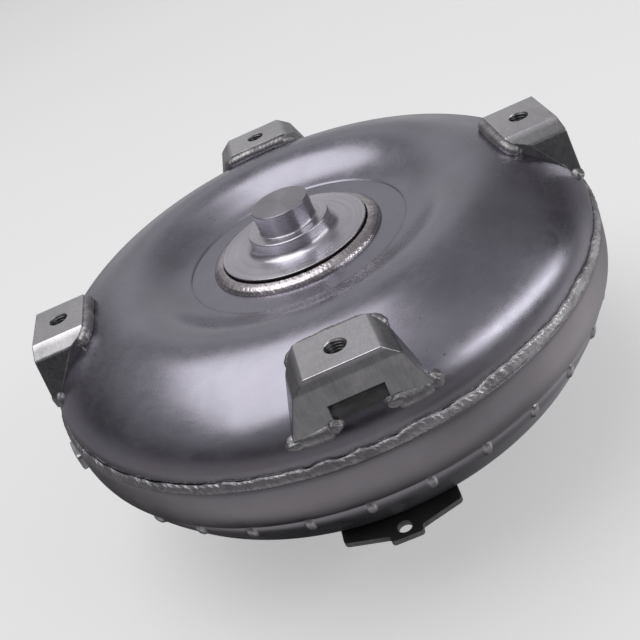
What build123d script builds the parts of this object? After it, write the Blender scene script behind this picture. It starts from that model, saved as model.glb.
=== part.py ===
from build123d import *
import math
import os

# Torque converter, millimetres.  +Z is the turning axis and points to the engine side (pilot up).
# Origin: centre of the rear hub's end face, so the converter stands on its hub.

# ---- driving dimensions -------------------------------------------------------------------------
Z_RIDGE = 106.0            # top edge of the impeller skirt, the welded joint line
OVERALL_H = 160.8          # hub end to pilot end

# pilot hub
STUB_R = 15.45
STUB_TOP = Z_RIDGE + 54.8
BOSS_R = 22.9
BOSS_TOP = Z_RIDGE + 42.9
DISC_R = 40.06
DISC_TOP = Z_RIDGE + 34.7
RECESS_Z = Z_RIDGE + 29.5  # flat of the cover round the disc
SPIGOT_R = 31.0
SPIGOT_BOTTOM = 127.7
PILOT_WELD_R = 46.6

# front cover
COVER_T = 4.0
COVER_WALL_R = 149.0
RIM_R = 148.0              # turned spigot of the cover, inside the impeller skirt
RIM_BOTTOM = 96.0

# impeller shell
SKIRT_R = 151.6
SKIRT_EDGE_R = 148.2
SKIRT_EDGE_Z = Z_RIDGE - 25.0
SHELL_T = 4.0
TORUS_R = 95.0             # centre of the shell's meridian ellipse
TORUS_Z = 88.0
TORUS_A = 51.5
TORUS_B = 48.0
DIMPLES = 32
DIMPLE_Z = Z_RIDGE - 30.5

# lugs
LUGS = 4
LUG_PCR = 130.48
LUG_TOP = Z_RIDGE + 44.34
LUG_FRONT = 145.6
LUG_BACK = 116.5
LUG_DRILL_R = 4.25         # tapping drill of M10
LUG_HOLE_DEPTH = 10.5      # blind: the flat bottom stops just above the cover
LUG_MOUTH_R = 4.9

# rear hub
HUB_R = 23.8
HUB_BORE_R = 19.5
HUB_FLANGE_R = 36.0
HUB_FLANGE_LOW = 57.0
SHELL_FLAT = 64.0          # rear face of the shell round the hub
HUB_TOP = 69.0
NOTCH_W = 10.0
NOTCH_H = 12.0

# bracket
BRACKET_TOP = Z_RIDGE - 55.0
BRACKET_T = 3.0
BRACKET_AZ = -92.1
BRACKET_HOLE_R = 3.5
BRACKET_HOLE_W = 137.5

# torus circuit
CORE_R = 97.0
CORE_A = 20.0
CORE_B = 17.0
CORE_T = 1.2
IMP_CORE_Z = 90.0
TURB_CORE_Z = 94.0
IMP_BLADES = 32
TURB_BLADES = 31
BLADE_T = 1.2
TURB_A = 43.0
TURB_B = 38.0
TURB_Z = 96.0
TURB_T = 1.6
TURB_FLAT = 117.0

# stator and one-way clutch
WHEEL_LOW, WHEEL_HIGH = 78.0, 106.0
WHEEL_HUB_R = 48.0
SHROUD_IN, SHROUD_OUT = 73.0, 75.0
STATOR_BLADES = 15
RACE_OUT_R = 40.0
RACE_LIP_R = 27.2
RACE_LOW, RACE_HIGH = 81.0, 102.0
INNER_RACE_R = 26.0
ROLLERS = 12
ROLLER_R = 3.0
ROLLER_PCR = 29.35
SPLINE_TEETH_STATOR = 32
SPLINE_TEETH_TURBINE = 24

# needle thrust bearings
NEEDLE_R = 1.6
NEEDLES = 24

os.makedirs("parts", exist_ok=True)


# ---- helpers ------------------------------------------------------------------------------------
def save(name, shape):
    """Write one node, as a plain compound of its solids."""
    solids = list(shape.solids())
    out = solids[0] if len(solids) == 1 else Compound(children=solids)
    out.label = name
    export_step(out, f"parts/{name}.step")
    return out


def curve(points, t0=None, t1=None):
    tangents = None
    if t0 is not None:
        tangents = (t0, t1)
        return Spline(*[(x, y) for x, y in points], tangents=tangents)
    return Spline(*[(x, y) for x, y in points])


def sample(edge, count):
    """Points and unit tangents along an edge."""
    out = []
    for i in range(count):
        u = i / (count - 1)
        p = edge.position_at(u)
        t = edge.tangent_at(u)
        out.append((p.X, p.Y, t.X, t.Y))
    return out


def offset_points(edge, distance, count=17):
    """Points at a distance to the left of the edge's direction."""
    return [(x - ty * distance, y + tx * distance) for x, y, tx, ty in sample(edge, count)]


def turned(face):
    """Revolve an (r, z) face drawn in XY about the Z axis."""
    return revolve(Plane.XZ * face, Axis.Z)


def ring(r0, r1, z0, z1):
    return turned(make_face(Polyline((r0, z0), (r1, z0), (r1, z1), (r0, z1), close=True)))


def drum(r, z0, z1):
    return Pos(0, 0, (z0 + z1) / 2) * Cylinder(r, z1 - z0)


def poly(points):
    return make_face(Polyline(*points, close=True))


def around(shape, count, start=0.0):
    return [Rot(0, 0, start + 360.0 * i / count) * shape for i in range(count)]


def group(solids):
    return Compound(children=[s for item in solids for s in item.solids()])


# ---- front cover --------------------------------------------------------------------------------
# outer meridian: flat recess, S-bend up to the crown, long shoulder, straight wall
cover_outer_pts = [
    (58.0, RECESS_Z),
    (70.0, Z_RIDGE + 33.1),
    (82.0, Z_RIDGE + 38.9),
    (95.0, Z_RIDGE + 41.9),
    (107.5, Z_RIDGE + 40.6),
    (119.0, Z_RIDGE + 36.8),
    (130.4, Z_RIDGE + 31.2),
    (140.2, Z_RIDGE + 23.9),
    (146.6, Z_RIDGE + 16.0),
    (149.0, Z_RIDGE + 8.0),
]
cover_outer = curve(cover_outer_pts, (1, 0), (0, -1))
cover_in = [(x + ty * COVER_T, y - tx * COVER_T) for x, y, tx, ty in sample(cover_outer, 21)]
cover_inner = curve(cover_in, (1, 0), (0, -1))
in_r = COVER_WALL_R - COVER_T


def cover_section():
    outer_low = cover_outer @ 1
    inner_low = cover_inner @ 1
    inner_start = cover_inner @ 0
    edges = [
        Line((SPIGOT_R, RECESS_Z), (58.0, RECESS_Z)),
        cover_outer,
        Line((outer_low.X, outer_low.Y), (COVER_WALL_R, Z_RIDGE + 4.2)),
        Line((COVER_WALL_R, Z_RIDGE + 4.2), (RIM_R, Z_RIDGE + 3.2)),
        Line((RIM_R, Z_RIDGE + 3.2), (RIM_R, RIM_BOTTOM + 0.6)),
        Line((RIM_R, RIM_BOTTOM + 0.6), (RIM_R - 0.6, RIM_BOTTOM)),
        Line((RIM_R - 0.6, RIM_BOTTOM), (in_r, RIM_BOTTOM)),
        Line((in_r, RIM_BOTTOM), (inner_low.X, inner_low.Y)),
        cover_inner,
        Line((inner_start.X, inner_start.Y), (SPIGOT_R, RECESS_Z - COVER_T)),
        Line((SPIGOT_R, RECESS_Z - COVER_T), (SPIGOT_R, RECESS_Z)),
    ]
    return make_face(edges)


front_cover = turned(cover_section())

# solid body bounded by the cover's outer surface, used to fit the lugs and weld beads to it
outer_low = cover_outer @ 1
cover_core = turned(
    make_face(
        [
            Line((0, RECESS_Z), (58.0, RECESS_Z)),
            cover_outer,
            Line((outer_low.X, outer_low.Y), (COVER_WALL_R, Z_RIDGE)),
            Line((COVER_WALL_R, Z_RIDGE), (0, Z_RIDGE)),
            Line((0, Z_RIDGE), (0, RECESS_Z)),
        ]
    )
)

# ---- pilot hub ----------------------------------------------------------------------------------
pilot_face = poly(
    [
        (0, SPIGOT_BOTTOM + 9.0),
        (13.0, SPIGOT_BOTTOM + 9.0),
        (14.0, SPIGOT_BOTTOM + 8.0),
        (14.0, SPIGOT_BOTTOM),
        (SPIGOT_R, SPIGOT_BOTTOM),
        (SPIGOT_R, RECESS_Z),
        (DISC_R, RECESS_Z),
        (DISC_R, DISC_TOP - 0.5),
        (DISC_R - 0.5, DISC_TOP),
        (BOSS_R + 2.4, DISC_TOP),
        (BOSS_R + 1.1, DISC_TOP + 0.35),
        (BOSS_R + 0.3, DISC_TOP + 1.2),
        (BOSS_R, DISC_TOP + 2.4),
        (BOSS_R, BOSS_TOP - 0.7),
        (BOSS_R - 0.7, BOSS_TOP),
        (STUB_R, BOSS_TOP),
        (STUB_R, STUB_TOP - 0.9),
        (STUB_R - 0.9, STUB_TOP),
        (0, STUB_TOP),
    ]
)
pilot_hub = turned(pilot_face)

pilot_weld = turned(
    poly(
        [
            (DISC_R, RECESS_Z),
            (PILOT_WELD_R, RECESS_Z),
            (PILOT_WELD_R - 0.5, RECESS_Z + 1.3),
            (PILOT_WELD_R - 2.0, RECESS_Z + 2.7),
            (PILOT_WELD_R - 4.2, RECESS_Z + 3.6),
            (DISC_R, RECESS_Z + 4.0),
        ]
    )
)

# ---- impeller shell -----------------------------------------------------------------------------
def ell(angle, a=TORUS_A, b=TORUS_B, rc=TORUS_R, zc=TORUS_Z):
    t = math.radians(angle)
    return (rc + a * math.cos(t), zc + b * math.sin(t))


start_angle = -math.degrees(math.asin((TORUS_Z - (SKIRT_EDGE_Z - 0.9)) / TORUS_B))
shell_pts = [ell(start_angle)] + [ell(a) for a in (-25, -40, -55, -70, -85, -100, -115, -130)]
shell_pts += [(53.5, 57.6), (47.6, 62.2), (41.0, SHELL_FLAT)]
shell_outer = curve(shell_pts, (0.28, -1.0), (-1, 0))
shell_in = [(x + ty * SHELL_T, y - tx * SHELL_T) for x, y, tx, ty in sample(shell_outer, 25)]
shell_inner = curve(shell_in, (0.28, -1.0), (-1, 0))
s0 = shell_outer @ 0
i0 = shell_inner @ 0
skirt_in = RIM_R
shell_face = make_face(
    [
        Line((skirt_in, Z_RIDGE), (SKIRT_R - 1.6, Z_RIDGE)),
        Line((SKIRT_R - 1.6, Z_RIDGE), (SKIRT_R - 0.2, Z_RIDGE - 2.2)),
        Line((SKIRT_R - 0.2, Z_RIDGE - 2.2), (SKIRT_R, Z_RIDGE - 6.0)),
        Spline(
            (SKIRT_R, Z_RIDGE - 6.0),
            (SKIRT_R - 0.15, Z_RIDGE - 14.0),
            (SKIRT_R - 1.3, Z_RIDGE - 20.5),
            (SKIRT_EDGE_R, SKIRT_EDGE_Z),
            tangents=((0, -1), (-0.75, -1.0)),
        ),
        Line((SKIRT_EDGE_R, SKIRT_EDGE_Z), (s0.X, s0.Y)),
        shell_outer,
        Line((41.0, SHELL_FLAT), (30.0, SHELL_FLAT)),
        Line((30.0, SHELL_FLAT), (30.0, SHELL_FLAT + SHELL_T)),
        Line((30.0, SHELL_FLAT + SHELL_T), ((shell_inner @ 1).X, SHELL_FLAT + SHELL_T)),
        shell_inner,
        Line((i0.X, i0.Y), (skirt_in - 3.4, RIM_BOTTOM - 7.0)),
        Line((skirt_in - 3.4, RIM_BOTTOM - 7.0), (skirt_in - 3.4, RIM_BOTTOM - 0.4)),
        Line((skirt_in - 3.4, RIM_BOTTOM - 0.4), (skirt_in, RIM_BOTTOM - 0.4)),
        Line((skirt_in, RIM_BOTTOM - 0.4), (skirt_in, Z_RIDGE)),
    ]
)
impeller_shell = turned(shell_face)
shell_core = turned(
    make_face(
        [
            Line((0, SKIRT_EDGE_Z), (s0.X, SKIRT_EDGE_Z)),
            Line((s0.X, SKIRT_EDGE_Z), (s0.X, s0.Y)),
            shell_outer,
            Line((41.0, SHELL_FLAT), (0, SHELL_FLAT)),
            Line((0, SHELL_FLAT), (0, SKIRT_EDGE_Z)),
        ]
    )
)

# raised oval dimples where the blade tabs are upset through the shell
tz = (DIMPLE_Z - TORUS_Z) / TORUS_B
dimple_r = TORUS_R + TORUS_A * math.sqrt(1 - tz * tz)
slope = math.degrees(math.atan2(TORUS_B * math.cos(math.asin(tz)), -TORUS_A * tz))
capsule = Cylinder(2.7, 4.4) + Pos(0, 0, 2.2) * Sphere(2.7) + Pos(0, 0, -2.2) * Sphere(2.7)
dimple = Pos(dimple_r - 1.5, 0, DIMPLE_Z) * Rot(0, 90.0 - slope, 0) * capsule
dimples = around(dimple, DIMPLES, 360.0 / DIMPLES / 2)
for one in dimples:
    impeller_shell = impeller_shell + (one - shell_core)

# ---- closure weld -------------------------------------------------------------------------------
closure_weld = turned(
    poly(
        [
            (RIM_R, Z_RIDGE),
            (151.2, Z_RIDGE),
            (151.75, Z_RIDGE + 1.4),
            (151.6, Z_RIDGE + 2.8),
            (150.7, Z_RIDGE + 4.0),
            (COVER_WALL_R, Z_RIDGE + 4.6),
            (COVER_WALL_R, Z_RIDGE + 4.2),
            (RIM_R, Z_RIDGE + 3.2),
        ]
    )
)

# ---- drive lugs ---------------------------------------------------------------------------------
# built with the lug's radial direction on +X and its width on Y, then turned to place
lug_front = make_face(
    Polyline(
        (-31.6, 112.0),
        (-31.6, Z_RIDGE + 19.0),
        (-24.0, Z_RIDGE + 38.6),
        (-16.6, LUG_TOP),
        (16.6, LUG_TOP),
        (24.0, Z_RIDGE + 38.6),
        (31.6, Z_RIDGE + 19.0),
        (31.6, 112.0),
        close=True,
    )
)
lug = Pos(LUG_BACK, 0, 0) * extrude(Plane.YZ * lug_front, LUG_FRONT - LUG_BACK)
# front face leans back above the bevel line and the feet are cut square
bevel = poly(
    [
        (LUG_FRONT - 1.0, LUG_TOP + 1),
        (LUG_FRONT + 6, LUG_TOP + 1),
        (LUG_FRONT + 6, LUG_TOP - 5.4),
        (LUG_FRONT, LUG_TOP - 5.4),
        (LUG_FRONT - 1.0, LUG_TOP - 0.0),
    ]
)
lug = lug - Pos(0, 45, 0) * extrude(Plane.XZ * bevel, 90)
foot_cut = poly([(LUG_BACK - 5, 100.0), (LUG_FRONT + 6, 100.0), (LUG_FRONT + 6, Z_RIDGE + 19.0), (LUG_BACK - 5, Z_RIDGE + 19.0)])
lug = lug - Pos(0, 45, 0) * extrude(Plane.XZ * foot_cut, 90)
# rounded back corners
for side in (1, -1):
    corner = Pos(LUG_BACK, side * 28.0, 140.0) * Box(14.0, 14.0, 60.0)
    keep = Pos(LUG_BACK + 9.0, side * 19.0, 140.0) * Cylinder(9.0, 60.0)
    box_c = Pos(LUG_BACK + 4.5 - 1.0, side * (19.0 + 8.0), 140.0) * Box(11.0, 16.0, 60.0)
    lug = lug - (box_c - keep)
# window between the two legs
window = Pos(LUG_FRONT - 9.0, 0, (Z_RIDGE + 28.5 + 100.0) / 2) * Box(26.0, 25.0, Z_RIDGE + 28.5 - 100.0)
lug = lug - window
# underside follows the cover
lug = lug - cover_core
# blind tapped hole with a chamfered mouth
hole = Pos(LUG_PCR, 0, LUG_TOP - (LUG_HOLE_DEPTH - 1.0) / 2) * Cylinder(LUG_DRILL_R, LUG_HOLE_DEPTH + 1.0)
mouth = Pos(LUG_PCR, 0, LUG_TOP - 0.4) * Cone(LUG_DRILL_R, LUG_MOUTH_R + 0.02, 0.85)
lug = lug - hole - mouth
lug_solids = sorted(lug.solids(), key=lambda s: -s.volume)
lug = lug_solids[0]
lugs = [Rot(0, 0, -90.0 + 90.0 * i) * lug for i in range(LUGS)]

# weld beads of one lug: a rod of bead across the inner end with a return at each side, and a blob at each foot
def rod(p, q, r):
    p, q = Vector(*p), Vector(*q)
    d = q - p
    body = Solid.make_cylinder(r, d.length, Plane(origin=p, z_dir=d.normalized()))
    return Part(body.wrapped) + Pos(p.X, p.Y, p.Z) * Sphere(r) + Pos(q.X, q.Y, q.Z) * Sphere(r)


def dome_z(r):
    best = min(sample(cover_outer, 240), key=lambda s: abs(s[0] - r))
    return best[1]


bead_r = 3.0
back_w = LUG_BACK - 0.4
beads = []
line = [(-22.0, 6.2), (-16.0, 0.6), (16.0, 0.6), (22.0, 6.2)]
pts = []
for u, dw in line:
    w = back_w + dw
    pts.append((w, u, dome_z(math.hypot(w, u)) + 0.7))
bead = rod(pts[0], pts[1], bead_r) + rod(pts[1], pts[2], bead_r) + rod(pts[2], pts[3], bead_r)
feet = []
for u, r in ((-29.5, 4.4), (29.5, 4.4), (-15.0, 3.8), (15.0, 3.8)):
    feet.append(Pos(LUG_FRONT - 3.6, u, Z_RIDGE + 17.6) * Sphere(r))
parts_of_weld = []
for piece in [bead] + feet:
    cut = piece - cover_core - lug
    keep = sorted(cut.solids(), key=lambda s: -s.volume)[0]
    parts_of_weld.append(keep)
lug_weld = group([Rot(0, 0, -90.0 + 90.0 * i) * p for i in range(LUGS) for p in parts_of_weld])

# ---- rear hub -----------------------------------------------------------------------------------
hub = turned(
    poly(
        [
            (HUB_BORE_R, 0),
            (HUB_R - 1.0, 0),
            (HUB_R, 1.0),
            (HUB_R, HUB_FLANGE_LOW - 2.0),
            (HUB_R + 0.6, HUB_FLANGE_LOW - 0.6),
            (HUB_R + 2.0, HUB_FLANGE_LOW),
            (HUB_FLANGE_R, HUB_FLANGE_LOW),
            (HUB_FLANGE_R, SHELL_FLAT),
            (30.0, SHELL_FLAT),
            (30.0, HUB_TOP),
            (HUB_BORE_R, HUB_TOP),
        ]
    )
)
hub = hub - Pos(0, 0, NOTCH_H / 2 - 0.5) * Box(2 * HUB_R + 10, NOTCH_W, NOTCH_H + 1.0)
hub_weld = turned(
    poly(
        [
            (HUB_FLANGE_R, SHELL_FLAT),
            (HUB_FLANGE_R, SHELL_FLAT - 5.0),
            (HUB_FLANGE_R + 1.4, SHELL_FLAT - 4.6),
            (HUB_FLANGE_R + 3.6, SHELL_FLAT - 2.8),
            (HUB_FLANGE_R + 4.8, SHELL_FLAT),
        ]
    )
)

# ---- bracket under the shell's shoulder ---------------------------------------------------------
bracket_outline = poly(
    [
        (118.0, -29.0),
        (131.6, -29.0),
        (133.6, -27.2),
        (140.4, -8.2),
        (142.6, -7.6),
        (144.0, -6.0),
        (144.0, 6.0),
        (142.6, 7.6),
        (140.4, 8.2),
        (133.6, 27.2),
        (131.6, 29.0),
        (118.0, 29.0),
    ]
)
bracket = Pos(0, 0, BRACKET_TOP - BRACKET_T) * extrude(bracket_outline, BRACKET_T)
bracket = bracket - shell_core - Pos(BRACKET_HOLE_W, 0, BRACKET_TOP - 1.5) * Cylinder(BRACKET_HOLE_R, 10.0)
bracket = sorted(bracket.solids(), key=lambda s: -s.volume)[0]
bracket = Rot(0, 0, BRACKET_AZ) * bracket

bracket_weld_solids = []
for u0, u1 in ((-26.0, -12.0), (12.0, 26.0)):
    w0 = 122.6
    p = (math.sqrt(w0 * w0 - u0 * u0), u0, BRACKET_TOP - BRACKET_T - 0.2)
    q = (math.sqrt(w0 * w0 - u1 * u1), u1, BRACKET_TOP - BRACKET_T - 0.2)
    piece = rod(p, q, 2.6) - shell_core
    piece = piece - Pos(0, 0, BRACKET_TOP - BRACKET_T) * extrude(Pos(130, 0) * Rectangle(60, 80), 20)
    bracket_weld_solids.append(Rot(0, 0, BRACKET_AZ) * sorted(piece.solids(), key=lambda s: -s.volume)[0])
bracket_weld = group(bracket_weld_solids)

# ---- balance weight on the skirt ----------------------------------------------------------------
weight_face = Plane.XZ * poly(
    [(SKIRT_R, 90.0), (SKIRT_R + 2.6, 90.6), (SKIRT_R + 2.6, 99.4), (SKIRT_R, 100.0)]
)
weight = revolve(weight_face, Axis.Z, 7.0)
weight = Rot(0, 0, -164.0 - 3.5) * weight
weight = sorted(weight.solids(), key=lambda s: -s.volume)[0]

# ---- impeller core and blades -------------------------------------------------------------------
def half_ellipse(rc, zc, a, b, low):
    full = Pos(rc, zc) * Ellipse(a, b)
    side = -1 if low else 1
    mask = Pos(rc, zc + side * 50) * Rectangle(200, 100)
    return full & mask


def core_ring(zc, low):
    big = half_ellipse(CORE_R, zc, CORE_A, CORE_B, low)
    small = half_ellipse(CORE_R, zc, CORE_A - CORE_T, CORE_B - CORE_T, low)
    return turned(big - small)


impeller_core = core_ring(IMP_CORE_Z, True)
turbine_core = core_ring(TURB_CORE_Z, False)


def blade_strip(bow, z0, z1, r0=44.0, r1=146.0):
    """A thin curved wall standing along Z, from r0 to r1."""
    mid = (r0 + r1) / 2
    h = BLADE_T / 2
    face = make_face(
        [
            ThreePointArc((r0, h), (mid, bow + h), (r1, h)),
            Line((r1, h), (r1, -h)),
            ThreePointArc((r1, -h), (mid, bow - h), (r0, -h)),
            Line((r0, -h), (r0, h)),
        ]
    )
    return Pos(0, 0, z0) * extrude(face, z1 - z0)


# impeller blade outline in the meridian plane: inside the shell, outside the core, below the parting
# plane and clear of the stator
gap = 0.5


def core_points(zc, sign, a0, a1, n=13, clear=0.5):
    out = []
    for k in range(n):
        t = math.radians(a0 + (a1 - a0) * k / (n - 1))
        out.append((CORE_R + (CORE_A + clear) * math.cos(t), zc + sign * (CORE_B + clear) * math.sin(t)))
    return out


def bladed(outline, bow, z0, z1):
    """A bowed sheet trimmed to an outline that is drawn in the radial-axial plane."""
    prism = Pos(0, 40, 0) * extrude(Plane.XZ * poly(outline), 80)
    solid = blade_strip(bow, z0, z1) & prism
    return sorted(solid.solids(), key=lambda s: -s.volume)[0]


imp_wall = [(x + ty * (SHELL_T + gap), y - tx * (SHELL_T + gap)) for x, y, tx, ty in sample(shell_outer, 41)]
imp_wall = [p for i, p in enumerate(imp_wall) if p[0] > 55.0 and (i % 2 == 0 or p[0] < 75.0)]
imp_outline = [(imp_wall[0][0], 89.5)] + imp_wall + [(imp_wall[-1][0], 77.0), (76.4, 77.0)]
imp_outline += [p for p in core_points(IMP_CORE_Z, -1, 180.0, 0.0) if p[0] > 76.4 and p[1] < 89.5 and (p[0] > 80 or p[1] > 77.0)]
imp_outline += [(CORE_R + CORE_A + gap, 89.5)]
blade = bladed(imp_outline, 6.0, 40.0, 91.0)
impeller_blades = group(around(blade, IMP_BLADES, 0.0))

# ---- turbine ------------------------------------------------------------------------------------
turb_pts = [ell(a, TURB_A, TURB_B, TORUS_R, TURB_Z) for a in (0, 15, 30, 45, 60, 75, 90, 105, 120, 132)]
turb_pts += [(58.6, 119.3), (50.5, TURB_FLAT)]
turb_outer = curve(turb_pts, (0, 1), (-1, -0.02))
turb_in = [(x - ty * TURB_T, y + tx * TURB_T) for x, y, tx, ty in sample(turb_outer, 25)]
turb_inner = curve(turb_in, (0, 1), (-1, -0.02))
to0, ti0 = turb_outer @ 0, turb_inner @ 0
to1, ti1 = turb_outer @ 1, turb_inner @ 1
turbine_shell = turned(
    make_face(
        [
            turb_outer,
            Line((to1.X, to1.Y), (30.0, to1.Y)),
            Line((30.0, to1.Y), (30.0, ti1.Y)),
            Line((30.0, ti1.Y), (ti1.X, ti1.Y)),
            turb_inner,
            Line((ti0.X, ti0.Y), (to0.X, to0.Y)),
        ]
    )
)
turb_wall = [(x - ty * (TURB_T + gap), y + tx * (TURB_T + gap)) for x, y, tx, ty in sample(turb_outer, 21)]
turb_wall = [p for p in turb_wall if p[0] > 54.0 and p[1] > 94.5]
turb_outline = [(turb_wall[0][0], 94.5)] + turb_wall + [(turb_wall[-1][0], 108.0), (76.4, 108.0)]
# the turbine blades are bowed further, so they stand further off the core in this flat outline
turb_outline += [p for p in core_points(TURB_CORE_Z, 1, 180.0, 0.0, 25, 1.5) if p[0] > 76.4 and p[1] > 94.5 and (p[0] > 80 or p[1] < 108.0)]
turb_outline += [(CORE_R + CORE_A + 1.5, 94.5)]
turb_blade = bladed(turb_outline, -13.0, 93.0, 140.0)
turbine_blades = group(around(turb_blade, TURB_BLADES, 3.0))

HUB_FACE = ti1.Y           # turbine hub flange lies under the shell's flat
FLANGE_LOW = 110.4


def spline_bore(minor, major, teeth, z0, z1):
    """Star-shaped cutter for an internally splined bore."""
    pts = []
    step = 360.0 / teeth
    for i in range(teeth):
        base = i * step
        for frac, r in ((-0.30, minor), (-0.16, major), (0.16, major), (0.30, minor)):
            a = math.radians(base + frac * step)
            pts.append((r * math.cos(a), r * math.sin(a)))
    return Pos(0, 0, z0) * extrude(make_face(Polyline(*pts, close=True)), z1 - z0)


turbine_hub = turned(
    poly(
        [
            (10.0, 109.0),
            (20.0, 109.0),
            (20.0, FLANGE_LOW),
            (46.0, FLANGE_LOW),
            (46.0, HUB_FACE),
            (30.0, HUB_FACE),
            (30.0, 124.0),
            (10.0, 124.0),
        ]
    )
)
turbine_hub = turbine_hub - spline_bore(12.4, 13.6, SPLINE_TEETH_TURBINE, 100.0, 130.0)
rivet_holes = [Rot(0, 0, 36.0 * i) * (Pos(42.0, 0, 113.0) * Cylinder(2.0, 20.0)) for i in range(10)]
for h in rivet_holes:
    turbine_hub = turbine_hub - h
    turbine_shell = turbine_shell - h
rivet = drum(2.0, FLANGE_LOW, to1.Y) + Pos(0, 0, to1.Y) * (Sphere(4.2) & Pos(0, 0, 10) * Box(20, 20, 20)) \
    & Pos(0, 0, to1.Y - 10) * Box(30, 30, 25.0)
rivet = Pos(42.0, 0, 0) * sorted(rivet.solids(), key=lambda s: -s.volume)[0]
turbine_rivets = group(around(rivet, 10, 0.0))
front_thrust_washer = ring(20.0, 29.4, 124.0, 127.2)
for i in range(4):
    groove = Rot(0, 0, 45.0 + 90.0 * i) * (Pos(24.7, 0, 127.2) * Box(14.0, 3.0, 1.6))
    front_thrust_washer = front_thrust_washer - groove

# ---- stator -------------------------------------------------------------------------------------
wheel = turned(
    poly(
        [
            (RACE_OUT_R, RACE_LOW),
            (44.0, RACE_LOW),
            (44.0, WHEEL_LOW),
            (WHEEL_HUB_R, WHEEL_LOW),
            (WHEEL_HUB_R, WHEEL_HIGH),
            (44.0, WHEEL_HIGH),
            (44.0, 105.9),
            (45.6, 105.9),
            (45.6, 104.6),
            (44.0, 104.6),
            (44.0, RACE_HIGH),
            (RACE_OUT_R, RACE_HIGH),
        ]
    )
)
shroud = ring(SHROUD_IN, SHROUD_OUT, 80.0, 104.0)
# one cast aerofoil vane, section in the tangential-axial plane, running outward along X
vane_face = make_face(
    [
        Spline((-3.2, -11.2), (2.3, -4.0), (4.6, 2.6), (4.2, 11.4), tangents=((0.9, 1.0), (-0.12, 1.0))),
        Line((4.2, 11.4), (3.4, 11.4)),
        Spline((3.4, 11.4), (1.4, 3.2), (-1.2, -2.6), (-4.8, -10.2), tangents=((-0.1, -1.0), (-0.8, -1.0))),
        ThreePointArc((-4.8, -10.2), (-4.7, -11.5), (-3.2, -11.2)),
    ]
)
vane = Pos(46.5, 0, 92.0) * extrude(Plane.YZ * vane_face, 28.0)
vane = vane & ring(WHEEL_HUB_R - 0.6, SHROUD_IN + 0.6, 80.0, 104.0)
stator_wheel = wheel + shroud
for v in around(vane, STATOR_BLADES, 0.0):
    stator_wheel = stator_wheel + v

outer_race = ring(RACE_LIP_R, RACE_OUT_R, RACE_LOW, RACE_HIGH)
rollers, springs = [], []
for i in range(ROLLERS):
    base = 360.0 * i / ROLLERS
    wide = Pos(ROLLER_PCR, 0, 0) * Circle(3.35)
    far = Rot(0, 0, 13.0) * (Pos(ROLLER_PCR - 0.2, 0, 0) * Circle(2.7))
    pocket = make_hull((wide.edges() + far.edges()))
    cutter = Rot(0, 0, base) * (Pos(0, 0, RACE_LOW - 1) * extrude(pocket, RACE_HIGH - RACE_LOW + 2))
    outer_race = outer_race - cutter
    rollers.append(Rot(0, 0, base) * (Pos(ROLLER_PCR, 0, 91.5) * Cylinder(ROLLER_R, 20.0)))
    # folded strip spring behind the roller
    zig = []
    n = 6
    for k in range(n + 1):
        ang = math.radians(6.9 + k * 1.35)
        rad = ROLLER_PCR + (1.5 if k % 2 else -1.5)
        zig.append((rad * math.cos(ang), rad * math.sin(ang)))
    strip = None
    for p, q in zip(zig, zig[1:]):
        mx, my = (p[0] + q[0]) / 2, (p[1] + q[1]) / 2
        length = math.hypot(q[0] - p[0], q[1] - p[1]) + 0.22
        turn = math.degrees(math.atan2(q[1] - p[1], q[0] - p[0]))
        bar = Pos(mx, my, 91.5) * (Rot(0, 0, turn) * Box(length, 0.26, 14.0))
        strip = bar if strip is None else strip + bar
    springs.append(Rot(0, 0, base) * strip)
clutch_rollers = group(rollers)
clutch_springs = group(springs)

inner_race = ring(14.0, INNER_RACE_R, 75.8, 103.8)
inner_race = inner_race - spline_bore(16.4, 17.6, SPLINE_TEETH_STATOR, 70.0, 110.0)
rear_side_plate = ring(26.6, 44.0, 75.4, RACE_LOW)
for i in range(6):
    rear_side_plate = rear_side_plate - Rot(0, 0, 60.0 * i) * (Pos(40.0, 0, 75.4) * Box(12.0, 4.0, 2.4))
front_side_plate = ring(26.6, 44.0, RACE_HIGH, 104.6)
snap_ring = ring(41.2, 45.4, 104.65, 105.85) - Pos(43.5, 0, 105.0) * Box(12.0, 9.0, 4.0)

# ---- needle thrust bearings ---------------------------------------------------------------------
def cage_and_needles(r0, r1, zc):
    cage = ring(r0, r1, zc - 0.9, zc + 0.9)
    needles = []
    length = r1 - r0 - 4.0
    mid = (r0 + r1) / 2
    for i in range(NEEDLES):
        a = 360.0 * i / NEEDLES
        pocket = Rot(0, 0, a) * (Pos(mid, 0, zc) * Box(length + 0.6, 2 * NEEDLE_R + 0.3, 6.0))
        cage = cage - pocket
        needle = Pos(mid - length / 2, 0, zc) * (Rot(0, 90, 0) * Pos(0, 0, length / 2) * Cylinder(NEEDLE_R, length))
        needles.append(Rot(0, 0, a) * needle)
    return cage, group(needles)


rear_race_pump = ring(22.5, 35.5, HUB_TOP, 70.1)
rear_cage, rear_needles = cage_and_needles(24.0, 35.0, 72.1)
rear_race_stator = ring(26.6, 35.5, 74.2, 75.4)
front_race_stator = ring(27.5, 38.5, 104.6, 105.6)
front_cage, front_needles = cage_and_needles(27.8, 38.5, 107.6)
front_race_turbine = ring(27.5, 38.5, 109.5, FLANGE_LOW)

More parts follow.
